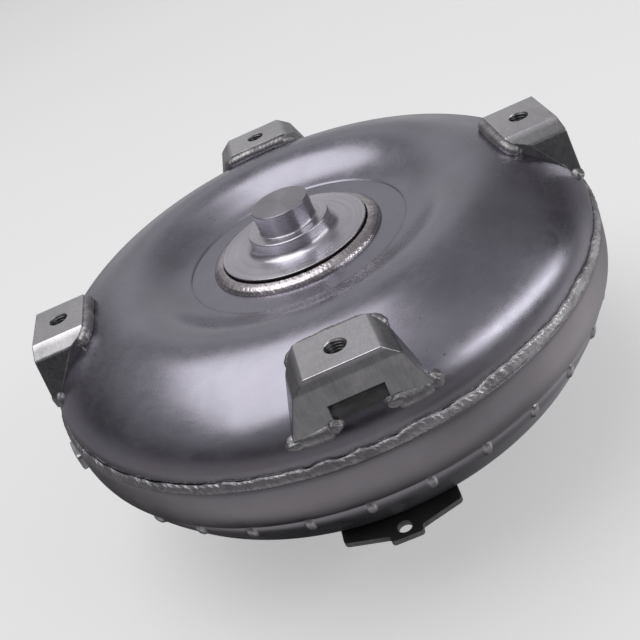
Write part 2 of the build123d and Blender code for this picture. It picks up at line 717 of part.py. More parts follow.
# ---- write the nodes ----------------------------------------------------------------------------
save("front_cover", front_cover)
save("pilot_hub", pilot_hub)
save("pilot_weld_bead", pilot_weld)
for i, one in enumerate(lugs):
    save(f"drive_lug_{i + 1}", one)
save("drive_lug_weld_beads", lug_weld)
save("closure_weld_bead", closure_weld)
save("impeller_shell", impeller_shell)
save("impeller_blades", impeller_blades)
save("impeller_core_ring", impeller_core)
save("impeller_hub", hub)
save("impeller_hub_weld", hub_weld)
save("rear_bracket", bracket)
save("rear_bracket_weld", bracket_weld)
save("balance_weight", weight)
save("rear_bearing_race_pump", rear_race_pump)
save("rear_bearing_cage", rear_cage)
save("rear_bearing_rollers", rear_needles)
save("rear_bearing_race_stator", rear_race_stator)
save("stator_inner_race", inner_race)
save("stator_wheel", stator_wheel)
save("clutch_outer_race", outer_race)
save("clutch_rollers", clutch_rollers)
save("clutch_springs", clutch_springs)
save("rear_side_plate", rear_side_plate)
save("front_side_plate", front_side_plate)
save("stator_snap_ring", snap_ring)
save("front_bearing_race_stator", front_race_stator)
save("front_bearing_cage", front_cage)
save("front_bearing_rollers", front_needles)
save("front_bearing_race_turbine", front_race_turbine)
save("turbine_shell", turbine_shell)
save("turbine_blades", turbine_blades)
save("turbine_core_ring", turbine_core)
save("turbine_hub", turbine_hub)
save("turbine_rivets", turbine_rivets)
save("front_thrust_washer", front_thrust_washer)
print("hub face", round(HUB_FACE, 3), "turbine flat", round(to1.Y, 3))
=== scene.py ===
import math

import bmesh
import bpy
import numpy as np
from mathutils import Matrix, Vector, noise


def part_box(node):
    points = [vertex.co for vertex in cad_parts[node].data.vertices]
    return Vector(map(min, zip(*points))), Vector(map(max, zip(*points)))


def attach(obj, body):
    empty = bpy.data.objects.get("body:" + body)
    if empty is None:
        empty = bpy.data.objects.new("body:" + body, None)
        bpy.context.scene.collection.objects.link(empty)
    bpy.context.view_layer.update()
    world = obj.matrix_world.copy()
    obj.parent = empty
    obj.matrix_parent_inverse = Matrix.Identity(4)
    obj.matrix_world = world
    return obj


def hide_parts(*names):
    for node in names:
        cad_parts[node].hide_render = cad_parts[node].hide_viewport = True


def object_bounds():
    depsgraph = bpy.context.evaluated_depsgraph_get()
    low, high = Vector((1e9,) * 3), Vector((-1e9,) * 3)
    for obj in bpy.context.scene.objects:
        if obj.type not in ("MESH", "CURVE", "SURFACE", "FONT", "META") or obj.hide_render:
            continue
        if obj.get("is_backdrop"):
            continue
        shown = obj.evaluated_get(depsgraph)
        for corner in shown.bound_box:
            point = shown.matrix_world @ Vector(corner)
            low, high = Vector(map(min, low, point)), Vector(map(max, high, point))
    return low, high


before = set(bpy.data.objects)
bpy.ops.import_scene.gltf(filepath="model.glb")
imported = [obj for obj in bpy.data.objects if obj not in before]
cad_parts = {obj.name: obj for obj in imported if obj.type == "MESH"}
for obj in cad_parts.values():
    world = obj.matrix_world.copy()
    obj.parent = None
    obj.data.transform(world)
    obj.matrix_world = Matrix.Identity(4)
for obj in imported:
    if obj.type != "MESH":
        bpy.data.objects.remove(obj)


def as_lists(b):
    try:
        return [[float(x) for x in p] for p in b]
    except TypeError:
        return [float(x) for x in b]


CAD_BOX = as_lists(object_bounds())
RNG = np.random.default_rng(12)
MM = 0.001


def box_mm(node):
    lo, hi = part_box(node)
    return [v / MM for v in lo], [v / MM for v in hi]


Z0 = box_mm("impeller_shell")[1][2]          # top edge of the impeller skirt
R_SHELL = box_mm("impeller_shell")[1][0]     # widest radius of the skirt
R_COVER = box_mm("front_cover")[1][0]        # radius of the cover's wall
STUB_TOP = box_mm("pilot_hub")[1][2]
HUB_TOP = box_mm("impeller_hub")[1][2]
near_lug = min((f"drive_lug_{k}" for k in range(1, 5)), key=lambda n: box_mm(n)[0][1])
LUG_LO, LUG_HI = box_mm(near_lug)
LUG_HALF, LUG_TOP, LUG_FRONT, LUG_BACK = LUG_HI[0], LUG_HI[2], -LUG_LO[1], -LUG_HI[1]
PLATE_LO, PLATE_HI = box_mm("rear_bracket")

# =================================================================================================
# camera, first: the solved viewpoint, in the part's frame
# =================================================================================================
scene = bpy.context.scene
cam_data = bpy.data.cameras.new("camera")
cam_data.lens = 55.864
cam_data.sensor_width = 36.0
cam_data.sensor_height = 36.0
cam_data.clip_start = 0.02
cam_data.clip_end = 100.0
cam_data.dof.use_dof = False
camera = bpy.data.objects.new("camera", cam_data)
scene.collection.objects.link(camera)
right = Vector((0.915854, -0.180305, -0.35875))
up = Vector((0.400187, 0.482423, 0.779178))
back = Vector((0.03258, -0.85718, 0.513985))
m = Matrix.Identity(4)
for i, v in enumerate((right, up, back)):
    for j in range(3):
        m[j][i] = v[j]
m.translation = Vector((0.011759, -0.470257, 0.368048))
camera.matrix_world = m
scene.camera = camera


# =================================================================================================
# node helpers
# =================================================================================================
class Nodes:
    """Small helper around one material's node tree."""

    def __init__(self, name):
        self.mat = bpy.data.materials.new(name)
        self.mat.use_nodes = True
        self.tree = self.mat.node_tree
        self.tree.nodes.clear()
        self.out = self.tree.nodes.new("ShaderNodeOutputMaterial")
        self.bsdf = self.tree.nodes.new("ShaderNodeBsdfPrincipled")
        self.link(self.bsdf.outputs["BSDF"], self.out.inputs["Surface"])
        self.coord = self.tree.nodes.new("ShaderNodeTexCoord").outputs["Object"]

    def link(self, a, b):
        self.tree.links.new(a, b)

    def node(self, kind, **inputs):
        n = self.tree.nodes.new(kind)
        for k, v in inputs.items():
            key = k.replace("_", " ")
            sock = n.inputs[key] if key in n.inputs else n.inputs[int(k[1:])]
            if hasattr(v, "is_output") or isinstance(v, bpy.types.NodeSocket):
                self.link(v, sock)
            else:
                sock.default_value = v
        return n

    def math(self, op, a, b=None, clamp=False):
        n = self.tree.nodes.new("ShaderNodeMath")
        n.operation = op
        n.use_clamp = clamp
        for i, v in enumerate((a, b)):
            if v is None:
                continue
            if isinstance(v, bpy.types.NodeSocket):
                self.link(v, n.inputs[i])
            else:
                n.inputs[i].default_value = v
        return n.outputs[0]

    def noise(self, scale, detail=3.0, rough=0.55, vector=None, distortion=0.0):
        n = self.tree.nodes.new("ShaderNodeTexNoise")
        n.inputs["Scale"].default_value = scale
        n.inputs["Detail"].default_value = detail
        n.inputs["Roughness"].default_value = rough
        n.inputs["Distortion"].default_value = distortion
        self.link(vector if vector is not None else self.coord, n.inputs["Vector"])
        return n.outputs["Fac"]

    def scaled(self, sx, sy, sz, vector=None):
        n = self.tree.nodes.new("ShaderNodeMapping")
        n.inputs["Scale"].default_value = (sx, sy, sz)
        self.link(vector if vector is not None else self.coord, n.inputs["Vector"])
        return n.outputs["Vector"]

    def polar(self, kr=1.0, kt=1.0, kz=1.0):
        """(radius, angle, height) of the object coordinate, each scaled."""
        sep = self.tree.nodes.new("ShaderNodeSeparateXYZ")
        self.link(self.coord, sep.inputs[0])
        x, y, z = sep.outputs
        r = self.math("SQRT", self.math("ADD", self.math("MULTIPLY", x, x), self.math("MULTIPLY", y, y)))
        t = self.math("ARCTAN2", y, x)
        comb = self.tree.nodes.new("ShaderNodeCombineXYZ")
        self.link(self.math("MULTIPLY", r, kr), comb.inputs[0])
        self.link(self.math("MULTIPLY", t, kt), comb.inputs[1])
        self.link(self.math("MULTIPLY", z, kz), comb.inputs[2])
        return comb.outputs[0], r, t, z

    def ramp(self, fac, stops, interpolation="LINEAR"):
        n = self.tree.nodes.new("ShaderNodeValToRGB")
        n.color_ramp.interpolation = interpolation
        while len(n.color_ramp.elements) > 1:
            n.color_ramp.elements.remove(n.color_ramp.elements[-1])
        n.color_ramp.elements[0].position = stops[0][0]
        c = stops[0][1]
        n.color_ramp.elements[0].color = c if len(c) == 4 else (*c, 1)
        for pos, c in stops[1:]:
            e = n.color_ramp.elements.new(pos)
            e.color = c if len(c) == 4 else (*c, 1)
        self.link(fac, n.inputs[0])
        return n.outputs[0]

    def span(self, value, a, b, lo, hi, clamp=True):
        n = self.tree.nodes.new("ShaderNodeMapRange")
        n.clamp = clamp
        self.link(value, n.inputs["Value"])
        n.inputs["From Min"].default_value = a
        n.inputs["From Max"].default_value = b
        n.inputs["To Min"].default_value = lo
        n.inputs["To Max"].default_value = hi
        return n.outputs["Result"]

    def mix(self, fac, a, b, blend="MIX"):
        n = self.tree.nodes.new("ShaderNodeMix")
        n.data_type = "RGBA"
        n.blend_type = blend
        n.clamp_factor = True
        pick = lambda name, kind: [s for s in n.inputs if s.name == name and s.type == kind][0]
        f, sa, sb = pick("Factor", "VALUE"), pick("A", "RGBA"), pick("B", "RGBA")
        for v, s in ((fac, f), (a, sa), (b, sb)):
            if isinstance(v, bpy.types.NodeSocket):
                self.link(v, s)
            else:
                s.default_value = v if not isinstance(v, tuple) or len(v) == 4 else (*v, 1)
        return [s for s in n.outputs if s.type == "RGBA"][0]

    def bump(self, height, strength, distance, normal=None):
        n = self.tree.nodes.new("ShaderNodeBump")
        n.inputs["Strength"].default_value = strength
        n.inputs["Distance"].default_value = distance
        self.link(height, n.inputs["Height"])
        if normal is not None:
            self.link(normal, n.inputs["Normal"])
        return n.outputs["Normal"]

    def set(self, **values):
        for k, v in values.items():
            sock = self.bsdf.inputs[k.replace("_", " ")]
            if isinstance(v, bpy.types.NodeSocket):
                self.link(v, sock)
            else:
                sock.default_value = v if not isinstance(v, tuple) or len(v) == 4 else (*v, 1)

    def radial_tangent(self):
        n = self.tree.nodes.new("ShaderNodeTangent")
        n.direction_type = "RADIAL"
        n.axis = "Z"
        self.link(n.outputs[0], self.bsdf.inputs["Tangent"])


# =================================================================================================
# materials
# =================================================================================================
def pressed_steel(name, tint=(0.500, 0.482, 0.562), dark=(0.405, 0.390, 0.452), warm=None, rough=(0.20, 0.32), scale=None):
    """Bare deep-drawn steel: soft gloss, drawing marks round the axis, oil smears and fine scratches."""
    n = Nodes(name)
    pv, r, t, z = n.polar(1.0, 0.045, 1.0)
    marks = n.noise(420.0, 4.0, 0.6, pv)                      # fine rings from drawing and polishing
    broad = n.noise(16.0, 4.0, 0.55)                          # smears a few centimetres across
    cloud = n.noise(55.0, 5.0, 0.6, distortion=0.6)
    speck = n.noise(900.0, 2.0, 0.5)
    col = n.mix(n.span(broad, 0.34, 0.66, 0.0, 1.0), dark, tint)
    col = n.mix(n.span(marks, 0.30, 0.72, 0.0, 0.14), col, (0.60, 0.585, 0.66))
    col = n.mix(n.span(cloud, 0.56, 0.78, 0.0, 0.22), col, dark)
    col = n.mix(n.span(speck, 0.70, 0.82, 0.0, 0.16), col, (0.22, 0.21, 0.22))
    if warm is not None:
        # heat tint: a straw to brown band beside the closure weld
        low, high, amount = warm
        band = n.math("MULTIPLY", n.span(z, low, (low + high) / 2, 0.0, 1.0), n.span(z, (low + high) / 2, high, 1.0, 0.0))
        patch = n.span(n.noise(20.0, 3.0, 0.5, n.scaled(1, 1, 4.0)), 0.36, 0.64, 0.15, 1.0)
        col = n.mix(n.math("MULTIPLY", band, n.math("MULTIPLY", patch, amount)), col, (0.47, 0.395, 0.385))
    if scale is not None:
        # painted shade: a dark band at the foot of the cover's wall, where the closure weld's toe throws shade, and
        # each lug's shadow footprint on the dome beneath it
        za, zb, w0, w1, half = scale
        seam = n.math("MULTIPLY", n.span(z, za, za + 0.0012, 0.0, 1.0), n.span(z, zb - 0.0045, zb, 1.0, 0.0))
        sep = n.tree.nodes.new("ShaderNodeSeparateXYZ")
        n.link(n.coord, sep.inputs[0])
        ax, ay = n.math("ABSOLUTE", sep.outputs[0]), n.math("ABSOLUTE", sep.outputs[1])
        far, near = n.math("MAXIMUM", ax, ay), n.math("MINIMUM", ax, ay)
        under = n.math("MULTIPLY", n.span(near, half, half + 0.0025, 1.0, 0.0), n.math("MULTIPLY", n.span(far, w0, w0 + 0.003, 0.0, 1.0), n.span(far, w1 - 0.0016, w1, 1.0, 0.0)))
        ragged = n.span(n.noise(160.0, 4.0, 0.6), 0.30, 0.60, 0.65, 1.0)
        shade = n.math("MULTIPLY", n.math("MAXIMUM", n.math("MULTIPLY", seam, 0.62), under), ragged)
        col = n.mix(shade, col, (0.20, 0.197, 0.193))
    n.set(Base_Color=col, Metallic=1.0, Anisotropic=0.30, Anisotropic_Rotation=0.25)
    rgh = n.math("ADD", n.span(broad, 0.3, 0.7, rough[0], rough[1]), n.span(cloud, 0.4, 0.75, -0.02, 0.05))
    rgh = n.math("ADD", rgh, n.span(marks, 0.3, 0.7, -0.02, 0.03))
    n.set(Roughness=rgh)
    wave = n.noise(5.0, 2.0, 0.5)                             # slight unevenness of the pressing
    nb = n.bump(wave, 0.10, 0.004)
    nb = n.bump(marks, 0.04, 0.0004, nb)
    nb = n.bump(n.noise(1500.0, 2.0, 0.5), 0.03, 0.0002, nb)
    n.set(Normal=nb)
    n.radial_tangent()
    return n.mat


def turned_steel(name, base=(0.950, 0.915, 1.0), ring_scale=2600.0, rough=(0.24, 0.30), stub=None):
    """Lathe-turned steel: fine concentric tool marks and a bow-tie highlight."""
    n = Nodes(name)
    pv, r, t, z = n.polar(1.0, 0.0012, 1.0)
    rings = n.noise(ring_scale, 2.0, 0.5, pv)
    coarse = n.noise(600.0, 3.0, 0.55, pv)
    cloud = n.noise(40.0, 3.0, 0.5)
    low = tuple(x * 0.86 for x in base)
    col = n.mix(n.span(coarse, 0.35, 0.68, 0.0, 1.0), low, base)
    col = n.mix(n.span(cloud, 0.50, 0.75, 0.0, 0.18), col, tuple(x * 0.7 for x in base))
    col = n.mix(n.span(rings, 0.55, 0.75, 0.0, 0.20), col, tuple(min(1.0, x * 1.2) for x in base))
    if stub is not None:
        # painted shade: the stub above the ledge is darkened, standing in for the darker reflections it shows
        col = n.mix(n.span(z, stub * MM, (stub + 0.8) * MM, 0.0, 0.75), col, tuple(x * 0.48 for x in base))
    n.set(Base_Color=col, Metallic=1.0, Anisotropic=0.90, Anisotropic_Rotation=0.25)
    n.set(Roughness=n.math("ADD", n.span(cloud, 0.35, 0.7, rough[0], rough[1]), n.span(rings, 0.3, 0.7, 0.0, 0.03)))
    nb = n.bump(rings, 0.05, 0.00015)
    nb = n.bump(coarse, 0.035, 0.0003, nb)
    n.set(Normal=nb)
    n.radial_tangent()
    return n.mat


def lug_steel(name):
    """Forged steel lug: linished faces with short straight scratches, mill scale left in the hollows."""
    n = Nodes(name)
    grind = n.noise(300.0, 3.0, 0.6, n.scaled(0.7, 3.0, 0.6))
    grind2 = n.noise(520.0, 3.0, 0.6, n.scaled(2.6, 0.6, 0.7))
    cloud = n.noise(60.0, 5.0, 0.60, distortion=0.7)
    pits = n.noise(800.0, 3.0, 0.6)
    col = n.mix(n.span(grind, 0.32, 0.70, 0.0, 1.0), (0.80, 0.78, 0.82), (0.93, 0.91, 0.94))
    col = n.mix(n.span(cloud, 0.48, 0.72, 0.0, 0.45), col, (0.50, 0.49, 0.50))
    col = n.mix(n.span(pits, 0.64, 0.78, 0.0, 0.30), col, (0.26, 0.25, 0.25))
    # painted shade: faces that stand upright are darkened below the linished top, keeping a grain of their own
    pv, r, t, z = n.polar()
    low = n.span(z, (LUG_TOP - 2.4) * MM, (LUG_TOP - 0.5) * MM, 1.0, 0.0)
    col = n.mix(n.math("MULTIPLY", low, n.span(cloud, 0.30, 0.62, 0.80, 1.00)), col, n.mix(n.span(n.noise(330.0, 4.0, 0.6, n.scaled(2.4, 2.4, 0.22)), 0.34, 0.66, 0.0, 1.0), (0.365, 0.36, 0.365), (0.465, 0.458, 0.465)))
    n.set(Base_Color=col, Metallic=1.0, Anisotropic=0.15)
    n.set(Roughness=n.math("ADD", n.span(cloud, 0.3, 0.7, 0.24, 0.36), n.span(grind2, 0.3, 0.7, -0.03, 0.05)))
    nb = n.bump(grind, 0.10, 0.0004)
    nb = n.bump(grind2, 0.07, 0.0004, nb)
    nb = n.bump(n.noise(110.0, 3.0, 0.5), 0.20, 0.0012, nb)
    nb = n.bump(pits, 0.08, 0.0003, nb)
    n.set(Normal=nb)
    return n.mat


def weld_metal(name, light=(0.50, 0.485, 0.49), dark=(0.16, 0.15, 0.15), rust=0.25, rough=(0.26, 0.48), relief=1.0, painted_highlight_deg=None):
    """Arc-weld bead: glassy and bright on the crests, dark oxide in the ripples, a little brown."""
    n = Nodes(name)
    patch = n.noise(120.0, 5.0, 0.65, distortion=0.7)
    fine = n.noise(650.0, 4.0, 0.6)
    brown = n.noise(60.0, 3.0, 0.55)
    col = n.mix(n.span(patch, 0.36, 0.66, 0.0, 1.0), dark, light)
    col = n.mix(n.span(fine, 0.58, 0.74, 0.0, 0.6), col, (0.10, 0.095, 0.10))
    col = n.mix(n.math("MULTIPLY", n.span(brown, 0.46, 0.68, 0.0, 1.0), rust), col, (0.36, 0.25, 0.20))
    rgh = n.math("ADD", n.span(patch, 0.3, 0.7, rough[1], rough[0]), n.span(fine, 0.4, 0.7, 0.0, 0.10))
    if painted_highlight_deg is not None:
        # painted highlight: one stretch of the seam, round the given angle and on its upper flank, is painted bright
        # and frosted where the strip light reflects; the rest keeps its oxide
        pv, r, t, z = n.polar()
        side = n.span(n.math("COSINE", n.math("SUBTRACT", t, math.radians(painted_highlight_deg))), 0.45, 0.86, 0.0, 1.0)
        ragged = n.span(n.noise(70.0, 5.0, 0.65, distortion=0.8), 0.36, 0.56, 0.05, 1.0)
        low = n.span(z, (Z0 + 1.6) * MM, (Z0 + 2.8) * MM, 0.05, 1.0)
        side = n.math("MULTIPLY", side, n.math("MULTIPLY", ragged, low))
        col = n.mix(side, col, (0.94, 0.925, 0.95))
        rgh = n.math("ADD", rgh, n.math("MULTIPLY", side, -0.04))
    n.set(Base_Color=col, Metallic=1.0)
    n.set(Roughness=rgh)
    nb = n.bump(fine, 0.28 * relief, 0.0006)
    nb = n.bump(n.noise(260.0, 3.0, 0.6), 0.22 * relief, 0.0010, nb)
    n.set(Normal=nb)
    return n.mat


def black_paint(name):
    """Semi-gloss black paint with orange peel, dust and a few rubs."""
    n = Nodes(name)
    dust = n.noise(300.0, 4.0, 0.6)
    cloud = n.noise(60.0, 3.0, 0.5)
    col = n.mix(n.span(cloud, 0.4, 0.65, 0.0, 1.0), (0.036, 0.036, 0.037), (0.052, 0.0515, 0.052))
    col = n.mix(n.span(dust, 0.66, 0.80, 0.0, 0.30), col, (0.10, 0.098, 0.095))
    n.set(Base_Color=col, Metallic=0.0, Specular_IOR_Level=0.42)
    n.set(Roughness=n.span(cloud, 0.3, 0.7, 0.34, 0.50))
    nb = n.bump(n.noise(420.0, 2.0, 0.5), 0.10, 0.0006)
    n.set(Normal=nb)
    return n.mat


def plate(name, a=(0.72, 0.71, 0.73), b=(0.58, 0.575, 0.60), rough=(0.28, 0.42), metallic=1.0):
    """Pale plated or ground metal, slightly clouded."""
    n = Nodes(name)
    cloud = n.noise(140.0, 4.0, 0.6)
    fine = n.noise(800.0, 3.0, 0.55)
    col = n.mix(n.span(cloud, 0.35, 0.65, 0.0, 1.0), b, a)
    col = n.mix(n.span(fine, 0.62, 0.76, 0.0, 0.4), col, tuple(x * 0.55 for x in b))
    n.set(Base_Color=col, Metallic=metallic)
    n.set(Roughness=n.span(cloud, 0.3, 0.7, rough[0], rough[1]))
    nb = n.bump(fine, 0.10, 0.0004)
    n.set(Normal=nb)
    return n.mat


M = {
    # the cover's scale band paints shade: at the closure weld's toe and under each lug
    "cover": pressed_steel("cover_steel", warm=((Z0 + 2.0) * MM, (Z0 + 19.0) * MM, 0.42), scale=((Z0 + 3.2) * MM, (Z0 + 10.6) * MM, (LUG_BACK + 2) * MM, LUG_FRONT * MM, 0.0132)),
    "shell": pressed_steel("impeller_steel", tint=(0.50, 0.482, 0.515), dark=(0.40, 0.385, 0.41), warm=((Z0 - 27) * MM, (Z0 + 6) * MM, 0.38), rough=(0.24, 0.36)),
    "turned": turned_steel("turned_steel", rough=(0.20, 0.27), stub=STUB_TOP - 11.2),
    "hub": turned_steel("hub_steel", base=(0.60, 0.585, 0.63), rough=(0.24, 0.34)),
    "thread": turned_steel("thread_steel", base=(0.26, 0.255, 0.26), rough=(0.30, 0.40)),
    # painted shade: a near-black material for the pilot disc's rim side, standing in for the shadowed undercut between
    # disc and weld
    "scale": weld_metal("pilot_rim_painted_shade", light=(0.075, 0.07, 0.07), dark=(0.03, 0.028, 0.028), rust=0.2, rough=(0.5, 0.6)),
    "lug": lug_steel("lug_steel"),
    "weld": weld_metal("weld_metal"),
    # painted highlight: the closure weld is painted bright on the side near -34 degrees, where the strip light reflects
    "weld_dark": weld_metal("closure_weld_metal", light=(0.66, 0.645, 0.68), dark=(0.37, 0.36, 0.375), rust=0.12, rough=(0.34, 0.50), painted_highlight_deg=-34.0),
    "pilot_weld": weld_metal("pilot_weld_metal", light=(0.92, 0.86, 0.90), dark=(0.60, 0.565, 0.59), rust=0.05, rough=(0.16, 0.26), relief=0.30),
    "lug_weld": weld_metal("lug_weld_metal", light=(0.60, 0.59, 0.60), dark=(0.37, 0.36, 0.37), rust=0.05, rough=(0.33, 0.48), relief=0.7),
    "black": black_paint("black_paint"),
    "black_edge": plate("worn_black_paint", a=(0.13, 0.128, 0.126), b=(0.07, 0.07, 0.07), rough=(0.36, 0.5), metallic=0.0),
    "plated": plate("plated_steel"),
    "inner": pressed_steel("inner_steel", tint=(0.56, 0.55, 0.56), dark=(0.42, 0.41, 0.42), rough=(0.25, 0.40)),
    "bearing": plate("bearing_steel", a=(0.74, 0.73, 0.75), b=(0.64, 0.63, 0.65), rough=(0.12, 0.22)),
    "bronze": plate("bronze", a=(0.70, 0.47, 0.24), b=(0.55, 0.36, 0.18), rough=(0.28, 0.42)),
    "alu": plate("cast_aluminium", a=(0.80, 0.80, 0.81), b=(0.66, 0.66, 0.67), rough=(0.38, 0.55)),
    "fade": pressed_steel("dimple_steel", tint=(0.72, 0.70, 0.72), dark=(0.62, 0.60, 0.62), rough=(0.28, 0.40)),
}


# =================================================================================================
# mesh helpers (millimetres in, metres out)
# =================================================================================================
def make_object(name, verts, faces, material, smooth=True, sharp_deg=40.0, materials=None, face_mats=None):
    me = bpy.data.meshes.new(name)
    me.from_pydata([tuple(v) for v in (np.asarray(verts) * MM)], [], [tuple(int(i) for i in f) for f in faces])
    me.validate()
    for mt in materials or [material]:
        me.materials.append(mt)
    if face_mats is not None:
        me.polygons.foreach_set("material_index", np.asarray(face_mats, dtype=np.int32))
    if smooth:
        me.polygons.foreach_set("use_smooth", [True] * len(me.polygons))
        me.set_sharp_from_angle(angle=math.radians(sharp_deg))
    me.update()
    ob = bpy.data.objects.new(name, me)
    scene.collection.objects.link(ob)
    return ob


def clamped_spline(points, t0, t1, count):
    """C2 cubic through the points with end tangents, sampled evenly in chord length."""
    p = np.array(points, float)
    s = np.concatenate([[0.0], np.cumsum(np.hypot(*np.diff(p, axis=0).T))])
    n = len(p)
    a = np.zeros((n, n))
    rhs = np.zeros((n, 2))
    a[0, 0] = a[-1, -1] = 1.0
    rhs[0] = np.array(t0, float) / np.hypot(*t0)
    rhs[-1] = np.array(t1, float) / np.hypot(*t1)
    for i in range(1, n - 1):
        h0, h1 = s[i] - s[i - 1], s[i + 1] - s[i]
        a[i, i - 1], a[i, i], a[i, i + 1] = h1, 2 * (h0 + h1), h0
        rhs[i] = 3 * (h1 * (p[i] - p[i - 1]) / h0 + h0 * (p[i + 1] - p[i]) / h1)
    d = np.linalg.solve(a, rhs)
    out = []
    for q in np.linspace(0, s[-1], count):
        k = min(int(np.searchsorted(s, q, side="right")) - 1, n - 2)
        h = s[k + 1] - s[k]
        u = (q - s[k]) / h
        h00, h10 = 2 * u**3 - 3 * u**2 + 1, u**3 - 2 * u**2 + u
        h01, h11 = -2 * u**3 + 3 * u**2, u**3 - u**2
        out.append(h00 * p[k] + h10 * h * d[k] + h01 * p[k + 1] + h11 * h * d[k + 1])
    return np.array(out)


def normals_left(curve):
    d = np.gradient(curve, axis=0)
    d /= np.maximum(np.hypot(d[:, 0], d[:, 1]), 1e-9)[:, None]
    return np.stack([-d[:, 1], d[:, 0]], -1)


def rounded(points, radii, n=5):
    """Polyline with each corner rounded by its radius (0 keeps it sharp)."""
    out = []
    count = len(points)
    for i, (p, r) in enumerate(zip(points, radii)):
        p = np.array(p, float)
        if r <= 0 or i == 0 or i == count - 1:
            out.append(p)
            continue
        a, b = np.array(points[i - 1], float) - p, np.array(points[i + 1], float) - p
        la, lb = np.linalg.norm(a), np.linalg.norm(b)
        a, b = a / la, b / lb
        ang = math.acos(max(-1, min(1, float(a @ b))))
        if ang > math.pi - 0.02:
            out.append(p)
            continue
        d = min(r / math.tan(ang / 2), 0.48 * la, 0.48 * lb)
        rr = d * math.tan(ang / 2)
        bis = (a + b) / np.linalg.norm(a + b)
        c = p + bis * (rr / math.sin(ang / 2))
        v0, v1 = p + a * d - c, p + b * d - c
        a0, a1 = math.atan2(v0[1], v0[0]), math.atan2(v1[1], v1[0])
        while a1 - a0 > math.pi:
            a1 -= 2 * math.pi
        while a1 - a0 < -math.pi:
            a1 += 2 * math.pi
        for k in range(n + 1):
            t = a0 + (a1 - a0) * k / n
            out.append(c + rr * np.array([math.cos(t), math.sin(t)]))
    return np.array(out)


def lathe(name, profile, material, angles=None, segs=360, shift=None, sharp_deg=38.0, face_mat=None, materials=None):
    """Closed (r, z) loop turned about Z.  shift(theta, r, z) returns displaced (r, z) arrays."""
    prof = np.asarray(profile, float)
    keep = [0]
    for i in range(1, len(prof)):
        if np.hypot(*(prof[i] - prof[keep[-1]])) > 1e-4:
            keep.append(i)
    prof = prof[keep]
    if np.hypot(*(prof[0] - prof[-1])) < 1e-4:
        prof = prof[:-1]
    th = np.linspace(0, 2 * math.pi, segs, endpoint=False) if angles is None else np.asarray(angles)
    n, k = len(th), len(prof)
    r = np.tile(prof[:, 0], (n, 1))
    z = np.tile(prof[:, 1], (n, 1))
    if shift is not None:
        r, z = shift(th[:, None] * np.ones((1, k)), r, z)
    x, y = r * np.cos(th)[:, None], r * np.sin(th)[:, None]
    axis_pt = prof[:, 0] < 1e-6
    verts = np.stack([x, y, z], -1).reshape(-1, 3)
    idx = np.arange(n * k).reshape(n, k)
    remap = idx.copy()
    for j in range(k):
        if axis_pt[j]:
            remap[:, j] = idx[0, j]
    faces, fm = [], []
    for j in range(k):
        j2 = (j + 1) % k
        if axis_pt[j] and axis_pt[j2]:
            continue
        a, b = remap[:, j], remap[:, j2]
        c, d = np.roll(b, -1), np.roll(a, -1)
        for q in zip(a, d, c, b):
            f = []
            for v in q:
                if v not in f:
                    f.append(v)
            if len(f) > 2:
                faces.append(f)
                if face_mat is not None:
                    fm.append(face_mat[j])
    used = np.unique(np.concatenate([np.asarray(f) for f in faces])) if axis_pt.any() else None
    if used is not None:
        new = -np.ones(len(verts), int)
        new[used] = np.arange(len(used))
        verts = verts[used]
        faces = [[new[i] for i in f] for f in faces]
    return make_object(name, verts, faces, material, sharp_deg=sharp_deg, materials=materials, face_mats=fm if face_mat is not None else None)


def wobble(seed, *freqs):
    """Smooth periodic random function of an angle, for uneven beads."""
    rng = np.random.default_rng(seed)
    terms = [(f, rng.uniform(0, 2 * math.pi), rng.uniform(0.6, 1.0)) for f in freqs]

    def fn(t):
        v = 0
        for f, p, a in terms:
            v = v + a * np.sin(f * t + p)
        return v / len(terms)

    return fn


def value_noise(seed, size=4096):
    table = np.random.default_rng(seed).uniform(-1, 1, size)

    def fn(x):
        i = np.floor(x).astype(int)
        f = x - i
        f = f * f * (3 - 2 * f)
        return table[i % size] * (1 - f) + table[(i + 1) % size] * f

    return fn


def solid_from(bm, name, material, sharp_deg=30.0, weighted=True):
    bmesh.ops.recalc_face_normals(bm, faces=bm.faces)
    me = bpy.data.meshes.new(name)
    bm.to_mesh(me)
    bm.free()
    me.transform(Matrix.Scale(MM, 4))
    me.materials.append(material)
    me.polygons.foreach_set("use_smooth", [True] * len(me.polygons))
    ob = bpy.data.objects.new(name, me)
    scene.collection.objects.link(ob)
    return ob


def boolean(ob, cutter, op="DIFFERENCE"):
    md = ob.modifiers.new("cut", "BOOLEAN")
    md.operation = op
    md.solver = "EXACT"
    md.object = cutter
    bpy.context.view_layer.update()
    deps = bpy.context.evaluated_depsgraph_get()
    me = bpy.data.meshes.new_from_object(ob.evaluated_get(deps))
    ob.modifiers.clear()
    old = ob.data
    ob.data = me
    bpy.data.meshes.remove(old)
    bpy.data.objects.remove(cutter)
    return ob


def finish_hard(ob, sharp_deg=34.0):
    """Smooth bevels beside flat faces: sharp edges by angle, then face-weighted normals."""
    me = ob.data
    me.polygons.foreach_set("use_smooth", [True] * len(me.polygons))
    me.set_sharp_from_angle(angle=math.radians(sharp_deg))
    md = ob.modifiers.new("weighted", "WEIGHTED_NORMAL")
    md.keep_sharp = True
    md.weight = 60
    bpy.context.view_layer.update()
    deps = bpy.context.evaluated_depsgraph_get()
    new = bpy.data.meshes.new_from_object(ob.evaluated_get(deps))
    ob.modifiers.clear()
    ob.data = new
    bpy.data.meshes.remove(me)
    return ob


def placed(ob, name, body, nodes=(), rot_deg=None):
    ob.name = name
    if rot_deg is not None:
        ob.matrix_world = Matrix.Rotation(math.radians(rot_deg), 4, "Z")
    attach(ob, body)
    if nodes:
        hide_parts(*nodes)
    return ob


